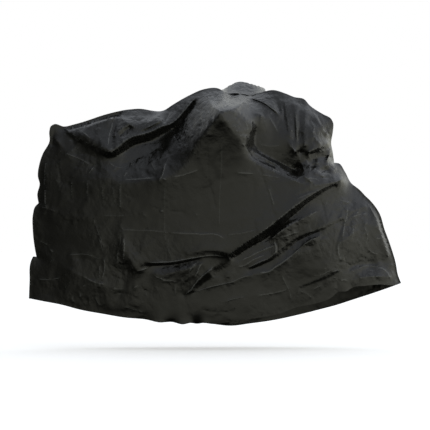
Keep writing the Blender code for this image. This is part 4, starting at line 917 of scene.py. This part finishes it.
def spread(
    tree: bpy.types.NodeTree, value: bpy.types.NodeSocket,
    start: tuple[float, float] = (0.0, 1.0), end: tuple[float, float] = (0.0, 1.0),
) -> bpy.types.NodeSocket:
    """A value brought from one range to another, and kept inside it.

    Args:
        tree: the tree that the value is in.
        value: the value.
        start: the range that it comes from.
        end: the range that it is brought to.

    Returns:
        The new value.
    """
    ends = {"From Min": start[0], "From Max": start[1], "To Min": end[0], "To Max": end[1]}
    return add_node(tree, "MapRange", {"Value": value, **ends}).outputs["Result"]


def times(
    tree: bpy.types.NodeTree, one: bpy.types.NodeSocket, other: bpy.types.NodeSocket,
) -> bpy.types.NodeSocket:
    """Two values multiplied."""
    return add_node(tree, "Math", {0: one, 1: other}, operation="MULTIPLY").outputs["Value"]


def show_apart(
    tree: bpy.types.NodeTree, output: bpy.types.Node, rest: bpy.types.Node, camera: bpy.types.Node,
) -> None:
    """Shows the camera one shader, and everything else another.

    Args:
        tree: the tree that the shaders are in.
        output: the tree's output.
        rest: the shader for everything else.
        camera: the shader for the camera.
    """
    seen = add_node(tree, "LightPath").outputs["Is Camera Ray"]
    mix = add_node(tree, "MixShader", {0: seen, 1: rest.outputs[0], 2: camera.outputs[0]})
    feed(tree, output, {"Surface": mix.outputs[0]})


@dataclass(frozen=True)
class FilmFinish:
    """Black polyethylene film, half gloss, finely crinkled, painted paler on its ridges and creases: partly
    wear, partly a painted highlight.
    """

    name: str = "creased_black_film"
    colour: Colour = (0.0045, 0.0045, 0.004)
    # the paler colour of ridges and creases: partly wear, partly a painted highlight
    wear_and_highlight_colour: Colour = (0.075, 0.077, 0.077)
    roughness: float = 0.23
    creased_roughness: float = 0.32
    wear_and_highlight_bends: tuple[float, float] = (0.04, 0.22)  # the bends between which the film is painted paler, as wear and as a painted highlight
    layers: tuple[tuple[float, float], ...] = ((26.0, 0.0036), (60.0, 0.0012), (150.0, 0.0002))
    waver: float = 0.012  # how far the small facets' edges waver, metres
    waver_detail: float = 1.0
    patch_scale: float = 7.0  # the crinkle is stronger in some patches than in others
    patch_detail: float = 2.0
    patch_noise: tuple[float, float] = (0.35, 0.65)
    patch_strength: tuple[float, float] = (0.15, 1.4)

    def crinkle(self) -> bpy.types.NodeTree:
        """A group that gives the height of one layer of small flat facets."""
        found = bpy.data.node_groups.get("crinkle")
        if found:
            return found
        group = bpy.data.node_groups.new("crinkle", "ShaderNodeTree")
        group.interface.new_socket("Place", in_out="INPUT", socket_type="NodeSocketVector")
        group.interface.new_socket("Scale", in_out="INPUT", socket_type="NodeSocketFloat")
        group.interface.new_socket("Height", in_out="OUTPUT", socket_type="NodeSocketFloat")
        start, end = group.nodes.new("NodeGroupInput"), group.nodes.new("NodeGroupOutput")
        place, scale = start.outputs["Place"], start.outputs["Scale"]
        noise = add_node(group, "TexNoise", {"Vector": place, "Scale": scale, "Detail": self.waver_detail})
        bent = add_node(
            group, "VectorMath", {0: noise.outputs["Color"], 1: (self.waver,) * 3, 2: place},
            operation="MULTIPLY_ADD",
        )
        facets = add_node(
            group, "TexVoronoi", {"Vector": bent.outputs["Vector"], "Scale": scale},
            feature="DISTANCE_TO_EDGE",
        )
        feed(group, end, {"Height": facets.outputs["Distance"]})
        return group

    def material(self) -> bpy.types.Material:
        """The film's material, made once."""
        found = bpy.data.materials.get(self.name)
        if found:
            return found
        material = bpy.data.materials.new(self.name)
        material.use_nodes = True
        tree = material.node_tree
        place = add_node(tree, "TexCoord").outputs["Object"]
        crumpled = add_node(tree, "Attribute", attribute_name="crumpled").outputs["Fac"]
        crease = add_node(tree, "Attribute", attribute_name="crease").outputs["Fac"]
        patches = add_node(
            tree, "TexNoise", {"Vector": place, "Scale": self.patch_scale, "Detail": self.patch_detail},
        )
        patch = spread(tree, patches.outputs["Fac"], self.patch_noise, self.patch_strength)
        strength = times(tree, crumpled, patch)
        normal = {}
        for scale, distance in self.layers:
            layer = add_node(tree, "Group", node_tree=self.crinkle())
            feed(tree, layer, {"Scale": scale, "Place": place})
            height = times(tree, layer.outputs["Height"], strength)
            bump = add_node(tree, "Bump", {"Strength": 1.0, "Distance": distance, "Height": height, **normal})
            normal = {"Normal": bump.outputs["Normal"]}
        # ridges and creases are painted paler and rougher: partly wear, partly a painted highlight
        worn_and_highlit = spread(tree, crease, self.wear_and_highlight_bends)
        colours = {"A": (*self.colour, 1.0), "B": (*self.wear_and_highlight_colour, 1.0)}
        colour = add_node(tree, "Mix", {"Factor": worn_and_highlit, **colours}, data_type="RGBA").outputs["Result"]
        gloss = spread(tree, worn_and_highlit, end=(self.roughness, self.creased_roughness))
        shader = tree.nodes["Principled BSDF"]
        feed(tree, shader, {"Base Color": colour, "Roughness": gloss, **normal})
        return material


@dataclass
class Panel:
    """One welded side panel of the cover: its seam, its hem, its folds and its creases."""

    name: str
    side: Side
    crown: Line  # the outline's dip or rise over the high peak
    hem: Line
    folds: dict[str, Line]
    creases: tuple[Crease, ...]
    zones: tuple[Zone, ...]  # where the film is crumpled more than elsewhere
    soft: tuple[Zone, ...]  # where the folds are rounded off
    full: tuple[Zone, ...]  # where the film stands further out than its folds say
    crumples: tuple[Crumple, ...] = CRUMPLES
    line_step: float = 0.55  # between points along a line
    fine_step: float = 0.56  # between points beside a line or in a crumpled place
    fill_step: float = 0.86  # and elsewhere
    fill_gap: float = 0.55  # how close they may come to a line, in fine steps
    fine_reach: float = 1.0  # how far from a line is beside it
    fine_gain: float = 0.85  # how much more crumpled is a crumpled place
    merge: float = 0.01  # points closer than this are one
    soft_rounds: int = 120
    soft_share: float = 0.6
    even_rounds: int = 1
    film: float = 0.0012  # thickness of the film, metres, so that it has an edge to see
    calm: float = 0.34  # how crumpled the film is away from the zones
    edge_calm: float = 0.5  # so close to its edge it isn't
    edge_fade: float = 3.0  # and so much further in it is in full
    crease_reach: float = 3.2  # how far a crease is felt, in its own falls
    crease_fade: float = 3.0  # and over what length it fades at its ends
    wear_and_highlight_reach: float = 0.45  # how far from a crease the film is painted pale, as wear and as a painted highlight
    wear_and_highlight_share: float = 0.06  # how much that wear and painted highlight counts, next to a bend
    shade_angle: float = 28.0  # degrees; folds sharper than this are shaded as edges
    crown_reach: float = 12.0  # how far below the outline its dip is felt
    flange_to: float = -44.0  # the flange shows flat along the rear as far as this
    flange_below: float = 74.0  # and along the front below this
    flange_keep: float = 0.9  # it is left out where a bend of the seam leaves less of its width
    front_share: float = 0.5  # how wide it shows in front, next to the rear
    rear_turn: float = 0.34  # how far it turns towards the rear, for its width
    turn_from: float = -76.0  # behind this

    def seam(self) -> list[tuple[float, float, float]]:
        """The seam, from the rear corner of the hem to the front one."""
        line = (*REAR_EDGE, *REAR_TOP, *self.crown, *FRONT_TOP, *FRONT_EDGE)
        return [(x, height, 0.0) for x, height in line]

    def weld(self, seam: Array, inset: float) -> Array:
        """A line along the seam, where the flange shows flat.

        Args:
            seam: the seam's points.
            inset: how far inside the seam the line runs.

        Returns:
            The line's points, as (x, height, depth).
        """
        along = np.gradient(seam[:, :2], axis=0)
        along /= np.linalg.norm(along, axis=1)[:, None]
        width = inset * np.where(seam[:, :1] > 0.0, self.front_share, 1.0)
        moved = seam[:, :2] + width * np.stack([along[:, 1], -along[:, 0]], 1)
        keep = moved[nearest(moved, seam[:, :2]) > self.flange_keep * width[:, 0]]
        keep = keep[(keep[:, 0] < self.flange_to) | (keep[:, 1] < self.flange_below)]
        return np.column_stack([keep, np.where(keep[:, 0] < self.turn_from, self.rear_turn * inset, 0.0)])

    def lay_out(self) -> Net:
        """The panel's net, stretched over its folds."""
        seam = curve(self.seam(), self.line_step)
        hem = curve((self.seam()[-1], *self.hem, self.seam()[0]), self.line_step)
        border = np.vstack([seam, hem[1:-1]])
        chains = [curve(line, self.line_step) for line in self.folds.values()]
        welds = [self.weld(seam, FLANGE), self.weld(seam, FLANGE / 2)]
        worked = [curve(crease.line, self.line_step)[:, :2] for crease in self.creases]
        edges, start = [(len(border) - 1, 0)], 0
        for chain in (border, *chains, *welds, *worked):
            ids = range(start, start + len(chain))
            if not any(chain is weld for weld in welds):
                edges += list(zip(ids[:-1], ids[1:]))
            start += len(chain)
        known = np.vstack([border, *chains, *welds])
        laid = np.vstack([known[:, :2], *worked])
        places = np.vstack([laid, self.fill_in(border[:, :2], laid)])
        return self.join(places, edges, known, len(border))

    def join(self, places: Array, edges: list[tuple[int, int]], known: Array, rim_count: int) -> Net:
        """Joins places to a net and stretches it over the depths that are known.

        Args:
            places: all the (x, height) places.
            edges: the pairs of them that an edge joins.
            known: the (x, height, depth) of the first of them.
            rim_count: how many of these lie on the border.

        Returns:
            The net.
        """
        flat_points = [Vector(place) for place in places.tolist()]
        coords, _, faces, sources, _, _ = delaunay_2d_cdt(flat_points, edges, [], 1, self.merge)
        depth = np.zeros(len(coords))
        fixed, rim = np.zeros((2, len(coords)), bool)
        for k, source in enumerate(sources):
            given = [s for s in source if s < len(known)]
            if given:
                depth[k], fixed[k], rim[k] = known[given[0], 2], True, min(given) < rim_count
        used = np.unique(np.array(faces))
        order = np.zeros(len(coords), int)
        order[used] = np.arange(len(used))
        points = np.column_stack([[tuple(c) for c in coords], depth])[used]
        net = Net(points, order[np.array(faces)].tolist(), rim[used])
        net.stretch(fixed[used])
        return net

    def fill_in(self, border: Array, lines: Array) -> Array:
        """Points between the lines, closer together beside them and where the film is crumpled."""
        fine, coarse = (self.fill(border, step) for step in (self.fine_step, self.fill_step))
        grid = np.vstack([fine[self.is_fine(fine, lines)], coarse[~self.is_fine(coarse, lines)]])
        return grid[nearest(grid, lines) > self.fill_gap * self.fine_step]

    def fill(self, border: Array, step: float) -> Array:
        """A triangular grid of points inside the border, that far apart."""
        low, high = border.min(0), border.max(0)
        rows = []
        for k, y in enumerate(np.arange(low[1], high[1], step * math.sqrt(3) / 2)):
            xs = np.arange(low[0] + k % 2 * step / 2, high[0], step)
            rows.append(np.column_stack([xs, np.full(len(xs), y)]))
        grid = np.vstack(rows)
        return grid[inside(border, grid)]

    def is_fine(self, places: Array, lines: Array) -> Array:
        """Which places are close to a line or in a crumpled part of the film."""
        return (nearest(places, lines) < self.fine_reach) | (self.gain(places) > self.fine_gain)

    def gain(self, places: Array) -> Array:
        """How strongly the film is crumpled at each (x, height) place."""
        return self.calm + weigh(self.zones, places)

    def work_in(self, net: Net, crease: Crease) -> tuple[Array, Array]:
        """Works out what one crease does to each of the net's points.

        Args:
            net: the panel's net.
            crease: the crease.

        Returns:
            How far it lifts each point, in centimetres, and how pale it paints them, as wear and as a painted
            highlight.
        """
        line = curve(crease.line, self.line_step)[:, :2]
        reach = self.crease_reach * max(crease.left, crease.right)
        low, high = line.min(0) - reach, line.max(0) + reach
        flat_points = net.points[:, :2]
        close = np.flatnonzero(((flat_points > low) & (flat_points < high)).all(1))
        spans = np.diff(line, axis=0)
        lengths = np.linalg.norm(spans, axis=1)
        starts = np.concatenate([[0.0], np.cumsum(lengths)])
        away = flat_points[close][:, None] - line[None, :-1]
        share = np.clip((away * spans).sum(2) / lengths**2, 0.0, 1.0)
        gap = away - share[..., None] * spans
        distance = np.linalg.norm(gap, axis=2)
        best = distance.argmin(1)
        rows = np.arange(len(close))
        off = distance[rows, best]
        left = spans[best, 0] * gap[rows, best, 1] - spans[best, 1] * gap[rows, best, 0] > 0
        run = starts[best] + share[rows, best] * lengths[best]
        fade = min(self.crease_fade, starts[-1] / 2)
        taper = ease(run / fade) * ease((starts[-1] - run) / fade)
        width = np.where(left, crease.left, crease.right)
        lift, wear_and_highlight = np.zeros((2, len(flat_points)))
        lift[close] = crease.rise * MM * np.exp(-off / width) * (off < reach) * taper
        wear_and_highlight[close] = max(crease.rise, 0.0) * np.clip(1.0 - off / self.wear_and_highlight_reach, 0.0, 1.0) * taper
        return lift, wear_and_highlight

    def relief(self, net: Net) -> Array:
        """How far the creases and crumples lift the net's points. The creases leave their paling on it: wear
        and a painted highlight.
        """
        places = net.points[:, :2]
        lift = np.zeros(len(places))
        for crease in self.creases:
            raised, worn_and_highlit = self.work_in(net, crease)
            lift += raised
            net.wear_and_highlight = np.maximum(net.wear_and_highlight, worn_and_highlit)
        inner = ease((nearest(places, places[net.border]) - self.edge_calm) / self.edge_fade)
        gain = self.gain(places)
        for crumple in self.crumples:
            lift += crumple.heights(places) * inner * gain**crumple.focus
        return lift

    def set_back(self, net: Net) -> None:
        """Moves each point along its line of sight, so that it shows where the tables have it."""
        centre = np.array((0.0, VIEW_HEIGHT))
        share = 1.0 + self.side.value * net.points[:, 2:] / VIEW_DISTANCE
        net.points[:, :2] = centre + (net.points[:, :2] - centre) * share

    def crown_drop(self, net: Net) -> Array:
        """How far the film sinks from its outline to the seam, where that dips beside the high peak."""
        x, height, depth = net.points.T
        lines = (np.array((REAR_TOP[-1], *crown, FRONT_TOP[0])) for crown in (self.crown, CROWN_SEAM))
        top, seam = (np.interp(x, *line.T) for line in lines)
        share = np.clip(1.0 - depth / CROWN_DEPTH, 0.0, 1.0)
        return np.where(height > top - self.crown_reach, (top - seam) * share, 0.0)

    def shape(self) -> Net:
        """The panel's net with its folds rounded and its creases and crumples worked in."""
        net = self.lay_out()
        share = self.soft_share * np.minimum(weigh(self.soft, net.points[:, :2]), 1.0)
        net.points[:, 2] = net.soften(net.points[:, 2], self.soft_rounds, share)
        net.points[:, 2] = net.soften(net.points[:, 2], self.even_rounds)
        net.points[:, 2] *= 1.0 + weigh(self.full, net.points[:, :2])
        net.points[:, 2] += self.relief(net)
        net.points[:, 1] -= self.crown_drop(net)
        net.points[:, 2] = np.maximum(net.points[:, 2], 0.0)
        self.set_back(net)
        return net

    def outer_face(self, net: Net) -> bpy.types.Mesh:
        """The film's outer face, marked with how crumpled it is and where it is painted paler (wear and a
        painted highlight on ridges and creases), and with its flat places as its UV.

        Args:
            net: the panel's net, which is the inner face.

        Returns:
            The mesh. Its rims part from the net squarely, so that the two panels meet in the seam.
        """
        facing = self.side.value
        out = np.where(net.border[:, None], net.normals(), (0.0, 0.0, 1.0))
        outer = net.points * CM + out * self.film
        places = np.column_stack([outer[:, 0], facing * outer[:, 2], outer[:, 1] - MOUNT_HEIGHT * CM])
        mesh = bpy.data.meshes.new(self.name)
        mesh.from_pydata(places, [], [f if facing < 0 else f[::-1] for f in net.faces])
        # the crease mark paints ridges and creases paler: partly wear, partly a painted highlight
        marks = {"crease": net.bend() + self.wear_and_highlight_share * net.wear_and_highlight, "crumpled": self.gain(net.points[:, :2])}
        for name, values in marks.items():
            mesh.attributes.new(name, "FLOAT", "POINT").data.foreach_set("value", values)
        cut = mesh.uv_layers.new(name="cut")
        corners = np.zeros(len(mesh.loops), int)
        mesh.loops.foreach_get("vertex_index", corners)
        cut.data.foreach_set("uv", (net.points[corners, :2] * CM).ravel())
        return mesh

    def thicken(self, piece: bpy.types.Object) -> None:
        """Gives the film its thickness, inwards, and shades its sharp folds as edges."""
        wall = piece.modifiers.new("film", "SOLIDIFY")
        wall.thickness = self.film
        wall.offset = -1.0
        bpy.ops.object.select_all(action="DESELECT")
        bpy.context.view_layer.objects.active = piece
        piece.select_set(True)
        bpy.ops.object.modifier_apply(modifier=wall.name)
        bpy.ops.object.shade_smooth_by_angle(angle=math.radians(self.shade_angle))
        piece.select_set(False)

    def build(self, finish: FilmFinish) -> bpy.types.Object:
        """Makes the panel, dressed, in the place of its node.

        Args:
            finish: the film that it is cut from.

        Returns:
            The finished piece.
        """
        mesh = self.outer_face(self.shape())
        mesh.materials.append(finish.material())
        piece = bpy.data.objects.new(self.name + "_film", mesh)
        bpy.context.scene.collection.objects.link(piece)
        self.thicken(piece)
        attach(piece, "root")
        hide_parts(self.name)
        return piece


@dataclass
class Studio:
    """The floor, the lights and the camera."""

    centre: Vector = field(default_factory=lambda: Vector((0.0, 0.0, (VIEW_HEIGHT - MOUNT_HEIGHT) * CM)))
    distance: float = VIEW_DISTANCE * CM
    view_width: float = VIEW_PIXELS * PIXEL  # what the photograph's frame spans at the cover
    sensor: float = 36.0  # millimetres
    floor_size: float = 60.0  # metres
    floor_colour: Colour = (0.8, 0.8, 0.8)
    floor_roughness: float = 0.9
    floor_glow: float = 0.5
    box_place: tuple[float, float, float] = (0.2, 2.4, 2.0)
    box_aim: tuple[float, float, float] = (0.0, 0.0, -0.2)
    box_size: tuple[float, float] = (3.4, 1.6)
    box_power: float = 0.8
    box_colour: Colour = (0.93, 0.97, 1.0)
    sky_strength: float = 4.85
    sky: Stops = (  # in front, from below to above
        (-0.80, (0.008, 0.008, 0.007)), (-0.60, (0.05, 0.05, 0.042)), (-0.42, (0.24, 0.24, 0.20)),
        (-0.22, (0.42, 0.42, 0.35)), (0.05, (0.50, 0.50, 0.42)), (0.35, (0.52, 0.525, 0.48)),
        (0.64, (0.465, 0.485, 0.51)), (0.94, (0.45, 0.476, 0.512)), (1.0, (0.44, 0.466, 0.503)),
    )
    sides: Stops = (  # what that is multiplied by, from the rear to the front of the cover
        (-1.0, (0.02,) * 3), (-0.85, (0.05,) * 3), (-0.65, (0.11,) * 3), (-0.45, (0.20,) * 3),
        (-0.20, (0.26,) * 3), (0.0, (0.27,) * 3), (0.25, (0.27,) * 3), (0.48, (0.31, 0.31, 0.315)),
        (0.74, (0.44, 0.44, 0.45)),
    )
    back_sky: Stops = (  # behind the cover, from level to above
        (0.0, (0.03,) * 3), (0.22, (0.11, 0.116, 0.124)), (0.50, (0.02, 0.021, 0.023)),
        (0.75, (0.06, 0.064, 0.07)), (1.0, (0.10, 0.106, 0.115)),
    )
    behind: Stops = ((0.0, (0.0,) * 3), (0.5, (1.0,) * 3), (1.0, (1.0,) * 3))

    def add_camera(self) -> None:
        """A long lens level with the middle of the cover, square to its side."""
        camera = bpy.data.cameras.new("camera")
        camera.sensor_width = self.sensor
        camera.lens = self.sensor * self.distance / self.view_width
        holder = bpy.data.objects.new("camera", camera)
        holder.location = self.centre + Vector((0.0, -self.distance, 0.0))
        holder.rotation_euler = (math.pi / 2, 0.0, 0.0)
        bpy.context.scene.collection.objects.link(holder)
        bpy.context.scene.camera = holder

    def add_floor(self) -> None:
        """A plain pale floor under the cover, which only the camera sees."""
        bpy.ops.object.select_all(action="DESELECT")
        bpy.ops.mesh.primitive_plane_add(size=self.floor_size, location=(0.0, 0.0, -MOUNT_HEIGHT * CM))
        floor = bpy.context.object
        floor.name = "floor"
        material = bpy.data.materials.new("floor")
        material.use_nodes = True
        tree = material.node_tree
        shader = tree.nodes["Principled BSDF"]
        feed(tree, shader, {"Base Color": (*self.floor_colour, 1.0), "Roughness": self.floor_roughness})
        feed(tree, shader, {"Emission Color": WHITE, "Emission Strength": self.floor_glow})
        show_apart(tree, tree.nodes["Material Output"], add_node(tree, "BsdfTransparent"), shader)
        floor.data.materials.append(material)

    def add_soft_box(self) -> None:
        """A soft box above and behind, turned to the cover."""
        light = bpy.data.lights.new("back_top", "AREA")
        light.shape = "RECTANGLE"
        light.size, light.size_y = self.box_size
        light.energy = self.box_power
        light.color = self.box_colour
        box = bpy.data.objects.new("back_top", light)
        box.location = self.box_place
        way = Vector(self.box_aim) - Vector(self.box_place)
        box.rotation_euler = way.to_track_quat("-Z", "Y").to_euler()
        bpy.context.scene.collection.objects.link(box)

    def ramp(
        self, tree: bpy.types.NodeTree, value: bpy.types.NodeSocket, stops: Stops,
    ) -> bpy.types.NodeSocket:
        """A colour that follows a part of the direction.

        Args:
            tree: the world's nodes.
            value: a part of the direction, from -1 to 1.
            stops: the value and the colour at each stop.

        Returns:
            The colour.
        """
        ramp = add_node(tree, "ValToRGB", {"Fac": spread(tree, value, (-1.0, 1.0))})
        elements = ramp.color_ramp.elements
        while len(elements) < len(stops):
            elements.new(1.0)
        for element, (at, colour) in zip(elements, stops):
            element.position = (at + 1.0) / 2.0
            element.color = (*colour, 1.0)
        return ramp.outputs["Color"]

    def blend(
        self, tree: bpy.types.NodeTree, kind: str, one: bpy.types.NodeSocket, other: bpy.types.NodeSocket,
    ) -> bpy.types.NodeSocket:
        """Two colours multiplied or added."""
        inputs = {"Factor": 1.0, "A": one, "B": other}
        return add_node(tree, "Mix", inputs, data_type="RGBA", blend_type=kind).outputs["Result"]

    def add_world(self) -> None:
        """White all round for the camera, and for the cover a soft light, brighter above and in front."""
        world = bpy.data.worlds.new("studio")
        bpy.context.scene.world = world
        world.use_nodes = True
        tree = world.node_tree
        white = tree.nodes["Background"]
        feed(tree, white, {"Color": WHITE})
        way = add_node(tree, "SeparateXYZ", {0: add_node(tree, "TexCoord").outputs["Generated"]}).outputs
        sky, sides = self.ramp(tree, way["Z"], self.sky), self.ramp(tree, way["X"], self.sides)
        back, behind = self.ramp(tree, way["Z"], self.back_sky), self.ramp(tree, way["Y"], self.behind)
        front, back = self.blend(tree, "MULTIPLY", sky, sides), self.blend(tree, "MULTIPLY", back, behind)
        colour = self.blend(tree, "ADD", front, back)
        soft = add_node(tree, "Background", {"Strength": self.sky_strength, "Color": colour})
        show_apart(tree, tree.nodes["World Output"], soft, white)

    def build(self) -> None:
        """Sets the whole studio up."""
        self.add_camera()
        self.add_floor()
        self.add_world()
        self.add_soft_box()
        bpy.context.scene.view_settings.view_transform = "Standard"


def main() -> None:
    """Loads the frame, sets the studio up and builds the cover on the frame."""
    logging.basicConfig(level=logging.INFO, format="%(name)s: %(message)s")
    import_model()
    Studio().build()
    finish = FilmFinish()
    panels = (
        Panel("near_panel", Side.NEAR, CROWN_SEAM, NEAR_HEM, NEAR_FOLDS, NEAR_CREASES,
              NEAR_ZONES, NEAR_SOFT, NEAR_FULL),
        Panel("far_panel", Side.FAR, CROWN_FAR, FAR_HEM, FAR_FOLDS, FAR_CREASES,
              FAR_ZONES, FAR_SOFT, FAR_FULL),
    )
    for panel in panels:
        piece = panel.build(finish)
        LOG.info("%s: %d faces", piece.name, len(piece.data.polygons))


if __name__ == "__main__":
    main()
